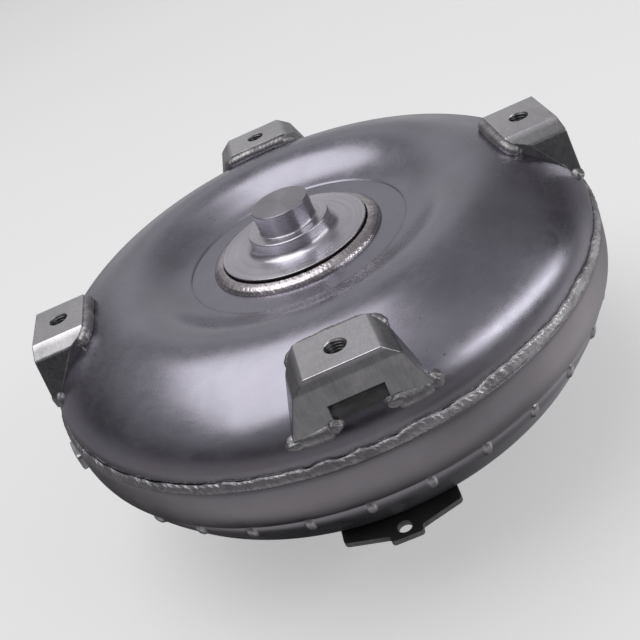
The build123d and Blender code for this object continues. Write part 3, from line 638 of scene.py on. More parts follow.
# =================================================================================================
# front cover
# =================================================================================================
COVER_PTS = [(R_COVER - a, Z0 + b) for a, b in (
    (87.4, 30.25), (79.0, 33.1), (67.0, 38.9), (54.0, 41.9), (41.5, 40.6),
    (30.0, 36.8), (18.6, 31.2), (8.8, 23.9), (2.4, 16.0), (0.0, 8.0),
)]
dome = clamped_spline(COVER_PTS, (1, 0.22), (0, -1), 110)


def dome_z(r):
    """Height of the cover's outer surface at a radius, from the crown outwards."""
    part = dome[dome[:, 0] > 95.0]
    return float(np.interp(r, part[:, 0], part[:, 1]))


def dome_slope(r):
    return (dome_z(r + 0.4) - dome_z(r - 0.4)) / 0.8


lip = rounded([(31.0, Z0 + 29.5), (59.3, Z0 + 29.5), (60.0, Z0 + 29.38), (60.7, Z0 + 29.95), (61.6, Z0 + 30.25)], [0, 0.8, 0.8, 1.2, 0], 5)
foot = rounded([(R_COVER, Z0 + 8.0), (R_COVER, Z0 + 4.7), (R_COVER - 1.0, Z0 + 3.4), (R_COVER - 1.0, Z0 - 9.4), (R_COVER - 1.6, Z0 - 10.0), (R_COVER - 4.0, Z0 - 10.0), (R_COVER - 4.0, Z0 + 8.0)], [0, 0.5, 0.5, 0, 0, 0, 0], 3)
inner = dome[::3] - normals_left(dome)[::3] * 4.0
inner = inner[(inner[:, 1] < Z0 + 38.2)]
inner_line = np.vstack([foot[-1:], inner[::-1], [(58.0, Z0 + 25.5), (31.0, Z0 + 25.5)]])
cover_profile = np.vstack([lip, dome[1:], foot[1:-1], inner_line])
cover = lathe("cover_skin", cover_profile[::-1], M["cover"], segs=400)
placed(cover, "front_cover_skin", "housing", ["front_cover"])

# =================================================================================================
# pilot hub: disc, boss and stub with turned corners
# =================================================================================================
pp = [(r, STUB_TOP - d) for r, d in ((0, 24.1), (13.0, 24.1), (14.0, 25.1), (14.0, 33.1), (31.0, 33.1), (31.0, 25.3), (39.6, 25.3), (39.6, 21.55), (40.06, 21.35), (40.06, 20.1),
      (22.9, 20.1), (22.2, 11.9), (15.45, 11.9), (15.45, 0.0), (0, 0.0))]
rr = [0, 0.4, 0.3, 0.4, 0.5, 0, 0, 0.2, 0.2, 0.35, 5.2, 0.9, 0.9, 0.55, 0]
pilot_profile = rounded(pp, rr, 7)
extra = []
for a, b in zip(pilot_profile[:-1], pilot_profile[1:]):
    extra.append(a)
    steps = int(np.hypot(*(b - a)) // 2.5)
    for k in range(1, steps):
        extra.append(a + (b - a) * k / steps)
extra.append(pilot_profile[-1])
extra = np.array(extra)
# painted shade: the disc's rim side takes the near-black material, as the undercut's shadow line
rim = [1 if (r > 39.3 and STUB_TOP - 26.0 < z < STUB_TOP - 21.2) else 0 for r, z in extra]
pilot = lathe("pilot_skin", extra, M["turned"], segs=288, sharp_deg=50, materials=[M["turned"], M["scale"]], face_mat=rim)
placed(pilot, "pilot_hub_skin", "housing", ["pilot_hub"])


# =================================================================================================
# impeller shell with 32 raised dimples
# =================================================================================================
def ell(angle, a=51.5, b=48.0, rc=95.0, zc=88.0):
    t = math.radians(angle)
    return (rc + a * math.cos(t), zc + b * math.sin(t))


SKIRT_EDGE = (R_SHELL - 3.4, Z0 - 25.0)
start = -math.degrees(math.asin((88.0 - 80.1) / 48.0))
shell_pts = [ell(start)] + [ell(a) for a in (-25, -40, -55, -70, -85, -100, -115, -130)] + [(53.5, 57.6), (47.6, 62.2), (41.0, 64.0)]
bowl = clamped_spline(shell_pts, (0.28, -1.0), (-1, 0), 190)
top_edge = rounded([(R_SHELL - 3.6, Z0), (R_SHELL - 0.75, Z0), (R_SHELL - 0.3, Z0 - 1.3)], [0, 0.45, 0], 4)
band = clamped_spline([(R_SHELL - 0.3, Z0 - 1.3), (R_SHELL, Z0 - 6.0), (R_SHELL - 0.15, Z0 - 14.0), (R_SHELL - 1.3, Z0 - 20.5), SKIRT_EDGE], (0.14, -1), (-0.75, -1.0), 34)
step = rounded([SKIRT_EDGE, (147.7, 80.35), tuple(bowl[0])], [0, 0.3, 0], 3)
bowl_in = bowl[::5] - normals_left(bowl)[::5] * -4.0
# keep the inner wall on the axis side of the outer one
bowl_in = bowl[::5] + np.array([[ny, -nx] for nx, ny in np.stack([normals_left(bowl)[::5, 1], -normals_left(bowl)[::5, 0]], -1)]) * 0
nl = normals_left(bowl)[::5]
side = nl if (bowl[95] + nl[19] * 4.0)[1] > bowl[95][1] else -nl
bowl_in = bowl[::5] + side * 4.0
shell_profile = np.vstack([
    top_edge, band[1:], step[1:-1], bowl, [(30.0, 64.0), (30.0, 68.0)], bowl_in[::-1],
    [(144.6, 89.0), (144.6, 95.6), (148.0, 95.6)],
])
cells = np.concatenate([np.linspace(-1.15, 1.15, 21), np.linspace(1.15, 10.1, 14)[1:-1]])
pitch = 11.25
angles = np.radians(np.sort(np.concatenate([(k + 0.5) * pitch + cells for k in range(32)]) % 360.0))
arc_s = np.zeros(len(shell_profile))
arc_s[1:] = np.cumsum(np.hypot(*np.diff(shell_profile, axis=0).T))
outer_rows = np.arange(len(top_edge) + len(band) + len(step) - 3, len(top_edge) + len(band) + len(step) - 3 + len(bowl))
DIMPLE_Z = Z0 - 30.6
near = outer_rows[np.argmin(abs(shell_profile[outer_rows, 1] - DIMPLE_Z) + 5 * (shell_profile[outer_rows, 0] < 120))]
s_mid = arc_s[near]
outer_n = np.zeros_like(shell_profile)
outer_n[outer_rows] = -side[0:1].repeat(len(outer_rows), 0) * 0
full_n = normals_left(bowl)
full_n = -full_n if (bowl[95] + full_n[95])[1] > bowl[95][1] else full_n
outer_n[outer_rows] = full_n
rowmask = np.zeros(len(shell_profile))
rowmask[outer_rows] = 1.0
jit = np.random.default_rng(5)
d_len, d_wid, d_h, d_off = (jit.uniform(0.9, 1.12, 32), jit.uniform(0.92, 1.1, 32), jit.uniform(0.85, 1.1, 32), jit.normal(0, 0.25, 32))


def dimple_shift(t, r, z):
    deg = np.degrees(t) % 360.0
    k = np.floor(deg / pitch).astype(int) % 32
    du = np.radians(deg - (k + 0.5) * pitch) * 144.5
    ds = (arc_s[None, :] - s_mid) - d_off[k]
    rho = ((np.abs(du) / (2.5 * d_wid[k])) ** 2.4 + (np.abs(ds) / (5.3 * d_len[k])) ** 2.4) ** (1 / 2.4)
    hgt = 1.35 * d_h[k] * np.clip(1.0 - np.clip((rho - 0.42) / 0.58, 0, 1), 0, 1)
    hgt = 1.35 * d_h[k] * (lambda q: q * q * (3 - 2 * q))(np.clip((1.0 - rho) / 0.55, 0, 1))
    hgt = hgt * rowmask[None, :]
    return r + hgt * outer_n[None, :, 0], z + hgt * outer_n[None, :, 1]


shell = lathe("shell_skin", shell_profile, M["shell"], angles=angles, shift=dimple_shift, sharp_deg=42)
# the dimples' crowns are polished paler than the shell
me = shell.data
me.materials.append(M["fade"])
co = np.zeros(len(me.vertices) * 3)
me.vertices.foreach_get("co", co)
co = co.reshape(-1, 3) / MM
pc = np.zeros(len(me.polygons) * 3)
me.polygons.foreach_get("center", pc)
pc = pc.reshape(-1, 3) / MM
rad = np.hypot(pc[:, 0], pc[:, 1])
deg = np.degrees(np.arctan2(pc[:, 1], pc[:, 0])) % 360.0
kk = np.floor(deg / pitch).astype(int) % 32
du = np.radians(deg - (kk + 0.5) * pitch) * 144.5
srow = np.interp(-pc[:, 2], -shell_profile[outer_rows][:, 1][:60], arc_s[outer_rows][:60]) - s_mid - d_off[kk]
rho = ((np.abs(du) / (2.5 * d_wid[kk])) ** 2.4 + (np.abs(srow) / (5.3 * d_len[kk])) ** 2.4) ** (1 / 2.4)
crown = (rho < 0.93) & (rad > 138) & (pc[:, 2] > 66) & (pc[:, 2] < 81)
me.polygons.foreach_set("material_index", crown.astype(np.int32))
me.update()
placed(shell, "impeller_shell_skin", "housing", ["impeller_shell"])


# =================================================================================================
# weld beads that run round the axis
# =================================================================================================
def ring_bead(name, profile, material, segs, ripple, rough, seed, out_dir, node, ripples=None, lean=0.35, climb=None):
    """A bead turned about Z whose crown is displaced by overlapping ripples and fine unevenness.
    out_dir(k) gives each profile point's displacement direction and weight."""
    prof = np.asarray(profile, float)
    dirs, wts = out_dir
    wob = wobble(seed, 3, 7, 11, 19, 29, 53, 87)
    n1, n2, n3 = value_noise(seed + 1), value_noise(seed + 2), value_noise(seed + 3)
    count = ripples

    def shift(t, r, z):
        s = np.linspace(0, 1, prof.shape[0])[None, :]
        phase = t / (2 * math.pi) * count + lean * (4 * s * (1 - s)) + 0.35 * n1(t / (2 * math.pi) * count * 0.37) + 0.1 * wob(t)
        scal = np.abs(np.sin(math.pi * phase)) ** 0.7
        amp = 0.7 + 0.6 * n2(t / (2 * math.pi) * count * 0.21)
        small = n3(t / (2 * math.pi) * count * 2.3 + s * 9.0) * 0.5 + n1(t / (2 * math.pi) * count * 3.9 + 40 + s * 23.0) * 0.5
        h = ripple * (scal - 0.6) * amp + rough * small + 0.5 * rough * wob(t * 1.0)
        if climb is not None:
            z = z + (climb(t) + 0.75 * n2(t / (2 * math.pi) * 120.0) + 0.35 * n3(t / (2 * math.pi) * 290.0)) * np.clip((prof[None, :, 1] - (Z0 + 1.6)) / 2.4, 0, 1)
        return r + h * dirs[None, :, 0] * wts[None, :], z + h * dirs[None, :, 1] * wts[None, :]

    ob = lathe(name, prof, material, segs=segs, shift=shift, sharp_deg=75)
    placed(ob, name, "housing", [node])
    return ob


# closure weld: from the skirt's top edge up to the foot of the cover's wall
WELD_R = box_mm("closure_weld_bead")[1][0]
cw = rounded([(WELD_R - 3.75, Z0 - 0.05), (WELD_R - 0.95, Z0 - 0.05), (WELD_R - 0.2, Z0 + 0.55), (WELD_R - 0.15, Z0 + 2.2), (WELD_R - 1.1, Z0 + 3.9), (WELD_R - 2.1, Z0 + 4.6), (WELD_R - 2.8, Z0 + 4.3), (WELD_R - 3.75, Z0 + 3.35)],
             [0, 0.5, 0.9, 1.6, 1.6, 0.7, 0.2, 0], 4)
cc = np.array([WELD_R - 2.35, Z0 + 1.8])
dv = cw - cc
dv /= np.hypot(dv[:, 0], dv[:, 1])[:, None]
wt = np.clip((cw[:, 0] - (WELD_R - 2.6)) / 1.0, 0, 1)


def higher_side(t):
    """The closing pass runs wider, and so higher up the cover's wall, on one side."""
    return 1.3 * np.clip(np.cos(t + math.radians(32.0)), 0, 1) ** 0.8


closure = ring_bead("closure_weld_skin", cw, M["weld_dark"], 3300, 0.035, 0.25, 21, (dv, wt), "closure_weld_bead", ripples=330, lean=0.9, climb=higher_side)

# pilot weld: fat round bead between the disc and the recess
pw = rounded([(39.9, Z0 + 29.45), (47.2, Z0 + 29.45), (46.9, Z0 + 30.5), (45.9, Z0 + 31.8), (43.9, Z0 + 32.8), (41.8, Z0 + 33.4), (40.7, Z0 + 33.2), (39.9, Z0 + 32.7)],
             [0, 0.2, 0.9, 1.8, 3.0, 1.4, 0.5, 0], 4)
cc = np.array([42.3, Z0 + 29.8])
dv = pw - cc
dv /= np.hypot(dv[:, 0], dv[:, 1])[:, None]
wt = np.clip((pw[:, 1] - (Z0 + 29.6)) / 1.4, 0, 1) * np.clip((pw[:, 0] - 40.1) / 0.8, 0, 1)
pilot_weld = ring_bead("pilot_weld_skin", pw, M["pilot_weld"], 1500, 0.05, 0.07, 33, (dv, wt), "pilot_weld_bead", ripples=112, lean=0.8)

# hub weld on the rear
hw = rounded([(35.9, 64.05), (35.9, 59.2), (37.0, 58.9), (39.3, 60.6), (40.7, 62.4), (40.9, 64.05)], [0, 0.3, 1.2, 1.6, 0.9, 0], 3)
cc = np.array([37.0, 63.4])
dv = hw - cc
dv /= np.hypot(dv[:, 0], dv[:, 1])[:, None]
wt = np.clip((hw[:, 0] - 36.2) / 0.8, 0, 1) * np.clip((64.0 - hw[:, 1]) / 0.8, 0, 1)
hub_weld = ring_bead("hub_weld_skin", hw, M["weld"], 1300, 0.16, 0.12, 45, (dv, wt), "impeller_hub_weld", ripples=130, lean=0.8)


# =================================================================================================
# free beads: a tube along a path, rippled like a stack of overlapping pools
# =================================================================================================
def smooth_path(points, count):
    p = np.array(points, float)
    s = np.concatenate([[0], np.cumsum(np.linalg.norm(np.diff(p, axis=0), axis=1))])
    q = np.linspace(0, s[-1], count)
    base = np.stack([np.interp(q, s, p[:, i]) for i in range(3)], -1)
    for _ in range(int(count * 0.05) + 2):
        base[1:-1] = 0.25 * base[:-2] + 0.5 * base[1:-1] + 0.25 * base[2:]
    return base, s[-1]


def bead_mesh(path, radius, seed, pool=1.7, ripple=0.16, rough=0.10, squash=0.85, around=18, per_mm=3.2):
    base, length = smooth_path(path, max(int(length_of(path) * per_mm), 12))
    n = len(base)
    tan = np.gradient(base, axis=0)
    tan /= np.linalg.norm(tan, axis=1)[:, None]
    upv = np.array([0, 0, 1.0])
    sidev = np.cross(tan, upv)
    sidev /= np.maximum(np.linalg.norm(sidev, axis=1), 1e-6)[:, None]
    upn = np.cross(sidev, tan)
    s = np.linspace(0, length, n)
    nz1, nz2, nz3 = value_noise(seed), value_noise(seed + 7), value_noise(seed + 13)
    a = np.linspace(0, 2 * math.pi, around, endpoint=False)
    S, A = np.meshgrid(s, a, indexing="ij")
    lean = 0.55 * np.sin(A)
    scal = np.abs(np.sin(math.pi * (S / pool + lean + 0.3 * nz1(S / pool * 0.6)))) ** 0.7
    rad = radius * (1 + 0.10 * nz2(S / 6.0)) + ripple * (scal - 0.6) + rough * (nz3(S * 2.2 + A * 3.0) * 0.6 + nz1(S * 1.1 - A * 5.0) * 0.4)
    end = np.clip(np.minimum(S, length - S) / (radius * 0.9), 0, 1)
    rad = rad * np.sqrt(1 - (1 - end) ** 2 * 0.999)
    pos = base[:, None, :] + (np.cos(A) * rad)[..., None] * sidev[:, None, :] + (np.sin(A) * rad * squash)[..., None] * upn[:, None, :]
    verts = pos.reshape(-1, 3)
    idx = np.arange(n * around).reshape(n, around)
    faces = []
    for i in range(n - 1):
        for j in range(around):
            k = (j + 1) % around
            faces.append((idx[i, j], idx[i, k], idx[i + 1, k], idx[i + 1, j]))
    faces.append(tuple(idx[0, ::-1]))
    faces.append(tuple(idx[-1]))
    return verts, faces


def length_of(path):
    p = np.array(path, float)
    return float(np.linalg.norm(np.diff(p, axis=0), axis=1).sum())


def blob_mesh(center, size, seed, sub=4, rough=0.12, rot=0.0):
    """A frozen drop of weld metal: an uneven, flattened pool with ripples."""
    bm = bmesh.new()
    bmesh.ops.create_icosphere(bm, subdivisions=sub, radius=1.0)
    c, s_ = math.cos(rot), math.sin(rot)
    verts = []
    for v in bm.verts:
        p = v.co.copy()
        q = Vector((p.x * 1.7 + seed * 3.1, p.y * 1.7, p.z * 1.7))
        d = 1.0 + rough * noise.noise(q) + rough * 0.5 * noise.noise(q * 3.1) + 0.05 * math.sin(9.0 * p.x + 3.0 * noise.noise(q))
        x, y, z = p.x * size[0] * d, p.y * size[1] * d, p.z * size[2] * d
        verts.append((center[0] + c * x - s_ * y, center[1] + s_ * x + c * y, center[2] + z))
    faces = [tuple(v.index for v in f.verts) for f in bm.faces]
    bm.free()
    return np.array(verts), faces


def join_meshes(items):
    verts, faces, off = [], [], 0
    for v, f in items:
        verts.append(np.asarray(v))
        faces += [tuple(i + off for i in q) for q in f]
        off += len(v)
    return np.vstack(verts), faces


# =================================================================================================
# drive lugs: one mesh, four places
# =================================================================================================
def build_lug():
    bm = bmesh.new()
    low, sill, knee = LUG_TOP - 25.7, LUG_TOP - 15.84, LUG_TOP - 5.5
    h = LUG_HALF
    outline = [(-h, low), (-h + 0.6, low + 2.0), (-h + 7.4, knee - 1.0), (-h + 8.2, knee + 0.1), (-h + 14.7, LUG_TOP), (h - 14.7, LUG_TOP), (h - 8.2, knee + 0.1), (h - 7.4, knee - 1.0),
               (h - 0.6, low + 2.0), (h, low), (12.5, low), (12.5, sill), (-12.5, sill), (-12.5, low)]
    back_ring = [bm.verts.new((LUG_BACK, u, z)) for u, z in outline]
    front_ring = [bm.verts.new((LUG_FRONT, u, z)) for u, z in outline]
    n = len(outline)
    for i in range(n):
        j = (i + 1) % n
        bm.faces.new((back_ring[i], back_ring[j], front_ring[j], front_ring[i]))
    bm.faces.new(back_ring)
    bm.faces.new(front_ring[::-1])

    def slice_plane(co, no):
        geom = bm.verts[:] + bm.edges[:] + bm.faces[:]
        res = bmesh.ops.bisect_plane(bm, geom=geom, plane_co=co, plane_no=no, clear_outer=True, dist=1e-5)
        edges = [g for g in res["geom_cut"] if isinstance(g, bmesh.types.BMEdge)]
        bmesh.ops.contextual_create(bm, geom=edges)

    slice_plane(Vector((144.5, 0, LUG_TOP)), Vector((5.4, 0, 1.1)).normalized())
    for sgn in (1, -1):
        slice_plane(Vector((LUG_BACK, sgn * 17.5, 0)), Vector((-0.80, sgn * 0.6, 0.0)).normalized())
        slice_plane(Vector((LUG_BACK + 4.6, sgn * 21.6, 0)), Vector((-0.45, sgn * 0.9, 0.0)).normalized())
    bmesh.ops.remove_doubles(bm, verts=bm.verts, dist=1e-4)
    bmesh.ops.dissolve_limit(bm, angle_limit=math.radians(1.0), verts=bm.verts, edges=bm.edges)
    bmesh.ops.recalc_face_normals(bm, faces=bm.faces)
    edges = [e for e in bm.edges if len(e.link_faces) == 2 and e.calc_face_angle(0) > math.radians(8)]
    bmesh.ops.bevel(bm, geom=edges, offset=0.95, segments=4, profile=0.6, affect="EDGES", clamp_overlap=True)
    ob = solid_from(bm, "lug_work", M["lug"])
    # underside follows the cover, with a low arch between the inner end and the feet
    rs = np.linspace(104.0, 148.9, 80)
    zz = []
    for r in rs:
        lift = 2.3 * math.sin(math.pi * np.clip((r - 122.5) / (143.5 - 122.5), 0, 1)) ** 0.8
        zz.append(dome_z(r) - 0.35 + lift)
    prof = np.vstack([np.stack([rs, zz], -1), [(148.9, 108.0), (104.0, 108.0)]])
    seg = lathe("lug_cutter", prof, M["lug"], segs=360, sharp_deg=180)
    boolean(ob, seg)
    # tapped hole: chamfered cutter at the thread's major radius
    hole = lathe("hole_cutter", [(0, 139.9), (4.98, 139.9), (4.98, LUG_TOP - 0.35), (5.9, LUG_TOP + 1.0), (0, LUG_TOP + 1.0)], M["lug"], segs=72, sharp_deg=180)
    hole.matrix_world = Matrix.Translation((0.13048, 0, 0))
    boolean(ob, hole)
    # drop fragments left by the cut
    me = ob.data
    bm = bmesh.new()
    bm.from_mesh(me)
    seen, islands = set(), []
    for v in bm.verts:
        if v in seen:
            continue
        stack, isl = [v], []
        seen.add(v)
        while stack:
            w = stack.pop()
            isl.append(w)
            for e in w.link_edges:
                o = e.other_vert(w)
                if o not in seen:
                    seen.add(o)
                    stack.append(o)
        islands.append(isl)
    islands.sort(key=len, reverse=True)
    for isl in islands[1:]:
        bmesh.ops.delete(bm, geom=isl, context="VERTS")
    # nothing hangs below the cover: cut the legs across, then lift what is too low onto the cover
    for w in np.linspace(LUG_BACK + 3.0, LUG_FRONT - 2.0, 9):
        geom = set()
        for f in bm.faces:
            if min(v.co.z for v in f.verts) < (LUG_TOP - 17.0) * MM:
                geom.add(f)
                geom.update(f.edges)
                geom.update(f.verts)
        bmesh.ops.bisect_plane(bm, geom=list(geom), plane_co=Vector((w * MM, 0, 0)), plane_no=Vector((1, 0, 0)), dist=1e-7)
    for v in bm.verts:
        r = math.hypot(v.co.x, v.co.y) / MM
        floor_z = dome_z(min(r, 148.7)) - 0.5
        if v.co.z / MM < floor_z:
            v.co.z = floor_z * MM
    bm.to_mesh(me)
    bm.free()
    return finish_hard(ob)


lug0 = build_lug()
lug_mesh = lug0.data
bpy.data.objects.remove(lug0)


def thread_mesh():
    """Internal M10 x 1.5 thread as a sleeve."""
    turns_z0, turns_z1, pitch_t = 140.0, LUG_TOP - 0.35, 1.5
    seg, rows = 64, int((turns_z1 - turns_z0) / 0.11)
    th = np.linspace(0, 2 * math.pi, seg, endpoint=False)
    zs = np.linspace(turns_z0, turns_z1, rows)
    T, Zg = np.meshgrid(th, zs, indexing="ij")
    ph = ((Zg - turns_z0) / pitch_t - T / (2 * math.pi)) % 1.0
    tri = 1 - np.abs(2 * ph - 1)
    r_in = 4.25 + 0.70 * np.clip((tri - 0.18) / 0.64, 0, 1)
    fade = np.clip((turns_z1 - Zg) / 0.5, 0, 1)
    r_in = r_in * fade + 4.97 * (1 - fade)
    inner_v = np.stack([130.48 + r_in * np.cos(T), r_in * np.sin(T), Zg], -1)
    outer_v = np.stack([130.48 + 5.02 * np.cos(T), 5.02 * np.sin(T), Zg], -1)[:, [0, -1]]
    vi = inner_v.reshape(-1, 3)
    vo = outer_v.reshape(-1, 3)
    verts = np.vstack([vi, vo])
    ii = np.arange(seg * rows).reshape(seg, rows)
    oo = np.arange(seg * 2).reshape(seg, 2) + seg * rows
    faces = []
    for i in range(seg):
        j = (i + 1) % seg
        for k in range(rows - 1):
            faces.append((ii[i, k], ii[i, k + 1], ii[j, k + 1], ii[j, k]))
        faces.append((oo[i, 0], oo[j, 0], oo[j, 1], oo[i, 1]))
        faces.append((ii[i, 0], ii[j, 0], oo[j, 0], oo[i, 0]))
        faces.append((ii[i, -1], oo[i, 1], oo[j, 1], ii[j, -1]))
    return verts, faces


tv, tf = thread_mesh()
thread0 = make_object("thread_work", tv, tf, M["thread"], sharp_deg=60)
thread_data = thread0.data
bpy.data.objects.remove(thread0)

for k in range(4):
    ob = bpy.data.objects.new(f"lug_skin_{k + 1}", lug_mesh if k == 0 else lug_mesh.copy())
    scene.collection.objects.link(ob)
    placed(ob, f"drive_lug_skin_{k + 1}", "housing", [f"drive_lug_{k + 1}"], rot_deg=-90 + 90 * k)
    th = bpy.data.objects.new(f"lug_thread_{k + 1}", thread_data if k == 0 else thread_data.copy())
    scene.collection.objects.link(th)
    placed(th, f"drive_lug_thread_{k + 1}", "housing", rot_deg=-90 + 90 * k)


def on_dome(w, u, lift):
    return (w, u, dome_z(math.hypot(w, u)) + lift)


def turn_pts(v, deg):
    a = math.radians(deg)
    v = np.asarray(v, float)
    return np.stack([v[:, 0] * math.cos(a) - v[:, 1] * math.sin(a), v[:, 0] * math.sin(a) + v[:, 1] * math.cos(a), v[:, 2]], -1)


weld_items = []
for k in range(4):
    rng = np.random.default_rng(100 + k)
    j = lambda s: float(rng.normal(0, s))
    # fillet across the inner end, with returns at both corners
    path = [on_dome(120.6, -21.4, 0.4), on_dome(117.4, -19.4, 1.6), on_dome(115.9, -15.0, 2.5), on_dome(115.5, -8.0, 2.5 + j(0.15)), on_dome(115.4, 0.0, 2.5),
            on_dome(115.5, 8.0, 2.5 + j(0.15)), on_dome(115.8, 15.0, 2.7), on_dome(117.2, 20.0, 2.4), on_dome(121.2, 22.4, 1.4)]
    items = [bead_mesh(path, 3.3, 200 + k, pool=2.6, ripple=0.17, rough=0.12, squash=0.95)]
    # drops at the feet
    for u, w, dz, size in ((-30.2, 142.4, -1.0, (4.1, 5.8, 3.5)), (31.4, 141.9, -0.1, (4.2, 4.4, 3.8)), (-13.4, 144.6, -0.1, (3.4, 3.9, 3.4)), (16.4, 143.6, -0.3, (4.5, 7.6, 3.9))):
        items.append(blob_mesh((w - 0.2 + j(0.2), u + j(0.4), Z0 + 17.4 + dz + j(0.25)), size, 10 * k + u, sub=4, rough=0.14))
    # fillet under each foot's front edge
    for s in (-1, 1):
        path = [(141.0, s * 31.4, Z0 + 17.0), (142.7, s * 24.0, Z0 + 16.1), (143.5, s * 12.8, Z0 + 16.3)]
        items.append(bead_mesh(path, 4.9, 300 + 10 * k + s, pool=3.6, ripple=0.07, rough=0.10, squash=0.95, around=28))
    for v, f in items:
        weld_items.append((turn_pts(v, -90 + 90 * k), f))
wv, wf = join_meshes(weld_items)
lug_welds = make_object("lug_weld_skin", wv, wf, M["lug_weld"], sharp_deg=80)
placed(lug_welds, "drive_lug_weld_skin", "housing", ["drive_lug_weld_beads"])

# spatter: a few small frozen drops round the lugs and beside the pilot weld
drops = []
rng = np.random.default_rng(77)
for k in range(4):
    for _ in range(4):
        w = rng.uniform(108, 140)
        u = rng.choice([-1, 1]) * rng.uniform(24, 40)
        if math.hypot(w, u) > 146:
            continue
        size = rng.uniform(0.25, 0.6)
        c = turn_pts(np.array([on_dome(w, u, 0.05)]), -90 + 90 * k)[0]
        drops.append(blob_mesh(tuple(c), (size, size * 1.2, size * 0.7), float(rng.uniform(0, 50)), sub=2, rough=0.2))
dv_, df_ = join_meshes(drops)
spatter = make_object("weld_spatter", dv_, df_, M["weld"], sharp_deg=80)
placed(spatter, "weld_spatter", "housing")

# =================================================================================================
# rear hub with its two drive notches
# =================================================================================================
hp = rounded([(19.5, 0.0), (23.8, 0.0), (23.8, 57.0), (36.0, 57.0), (36.0, 64.0), (30.0, 64.0), (30.0, 69.0), (19.5, 69.0)],
             [0, 1.0, 2.0, 0.5, 0, 0, 0.4, 0], 5)
hub_pts = []
for a, b in zip(hp[:-1], hp[1:]):
    hub_pts.append(a)
    steps = int(np.hypot(*(b - a)) // 4)
    for k in range(1, steps):
        hub_pts.append(a + (b - a) * k / steps)
hub_pts.append(hp[-1])
hub = lathe("hub_skin", np.array(hub_pts), M["hub"], segs=160, sharp_deg=45)
bm = bmesh.new()
bmesh.ops.create_cube(bm, size=1.0)
bmesh.ops.scale(bm, vec=(70.0, 10.0, 13.0), verts=bm.verts)
bmesh.ops.translate(bm, vec=(0, 0, 5.5), verts=bm.verts)
long_edges = [e for e in bm.edges if abs((e.verts[0].co - e.verts[1].co).x) > 10 and e.verts[0].co.z > 5]
bmesh.ops.bevel(bm, geom=long_edges, offset=1.6, segments=5, profile=0.5, affect="EDGES")
notch = solid_from(bm, "notch_cutter", M["hub"])
boolean(hub, notch)
hub.data.polygons.foreach_set("use_smooth", [True] * len(hub.data.polygons))
hub.data.set_sharp_from_angle(angle=math.radians(35))
placed(hub, "impeller_hub_skin", "housing", ["impeller_hub"])

# =================================================================================================
# bracket, its welds and the balance weight
# =================================================================================================
def round_outline(points, radii, n=6):
    pts = [points[-1]] + list(points) + [points[0]]
    rads = [0] + list(radii) + [0]
    out = rounded(pts, rads, n)
    return out[1:-1]


bo = [(117.0, -29.0), (133.6, -29.0), (140.2, -7.9), (144.0, -7.9), (144.0, 7.9), (140.2, 7.9), (133.6, 29.0), (117.0, 29.0)]
outline = round_outline(bo, [0, 2.6, 1.6, 2.4, 2.4, 1.6, 2.6, 0])
bm = bmesh.new()
lo = [bm.verts.new((x, y, 48.0)) for x, y in outline]
hi = [bm.verts.new((x, y, 51.0)) for x, y in outline]
for i in range(len(outline)):
    j = (i + 1) % len(outline)
    bm.faces.new((lo[i], lo[j], hi[j], hi[i]))
bm.faces.new(lo[::-1])
bm.faces.new(hi)
bmesh.ops.recalc_face_normals(bm, faces=bm.faces)
rim = [e for e in bm.edges if e.calc_face_angle(0) > math.radians(60) and abs(e.verts[0].co.z - e.verts[1].co.z) < 1e-6]
bmesh.ops.bevel(bm, geom=rim, offset=0.35, segments=2, profile=0.5, affect="EDGES")
bracket = solid_from(bm, "bracket_work", M["black"])
holec = lathe("bh", [(0, 40.0), (3.5, 40.0), (3.5, 47.9), (3.5, 50.7), (4.1, 51.6), (4.1, 60.0), (0, 60.0)], M["black"], segs=64, sharp_deg=180)
holec.matrix_world = Matrix.Translation((0.1375, 0, 0))
boolean(bracket, holec)
lowb = bowl[bowl[:, 0] > 100.0]
cutp = np.vstack([[(90.0, 70.0), (lowb[0][0] - 0.25, 70.0)], lowb[lowb[:, 1] < 70.0] - np.array([0.25, 0]), [(90.0, lowb[-1][1])]])
shellc = lathe("sc", cutp, M["black"], segs=480, sharp_deg=180)
boolean(bracket, shellc)
finish_hard(bracket)
bracket.data.materials.append(M["black_edge"])
for f in bracket.data.polygons:
    if abs(f.normal.z) < 0.8:
        f.material_index = 1
placed(bracket, "rear_bracket_skin", "housing", ["rear_bracket"], rot_deg=-92.1)

bw_items = []
for s in (-1, 1):
    path = []
    for u in (26.5, 20.0, 13.0):
        w = math.sqrt(124.4**2 - u * u)
        path.append((w, s * u, 47.1))
    v, f = bead_mesh(path, 2.1, 500 + s, pool=1.7, ripple=0.22, rough=0.12, around=14)
    bw_items.append((turn_pts(v, -92.1), f))
v, f = join_meshes(bw_items)
bw = make_object("bracket_weld_skin", v, f, M["weld"], sharp_deg=80)
placed(bw, "rear_bracket_weld_skin", "housing", ["rear_bracket_weld"])

# balance weight: a small bent plate with rounded corners
wu = np.linspace(-9.2, 9.2, 25)
wz = np.linspace(90.2, 99.8, 15)
verts, faces = [], []
grid = np.zeros((2, len(wu), len(wz)), int)
for layer, depth in ((0, 0.0), (1, 2.6)):
    for i, u in enumerate(wu):
        for k, z in enumerate(wz):
            eu = max(0.0, abs(u) - 7.2) / 2.0
            ez = max(0.0, abs(z - 95.0) - 2.8) / 2.0
            corner = math.hypot(eu, ez)
            uu, zz_ = u, z
            if eu > 0 and ez > 0 and corner > 0:
                f = max(eu, ez) / corner
                uu = math.copysign(7.2 + 2.0 * eu * f, u)
                zz_ = 95.0 + math.copysign(2.8 + 2.0 * ez * f, z - 95.0)
            edge = max(eu, ez)
            r = 151.45 + depth - (0.55 * edge**3 if layer else 0.0)
            a = math.radians(-164.0) + uu / 151.6
            grid[layer, i, k] = len(verts)
            verts.append((r * math.cos(a), r * math.sin(a), zz_))
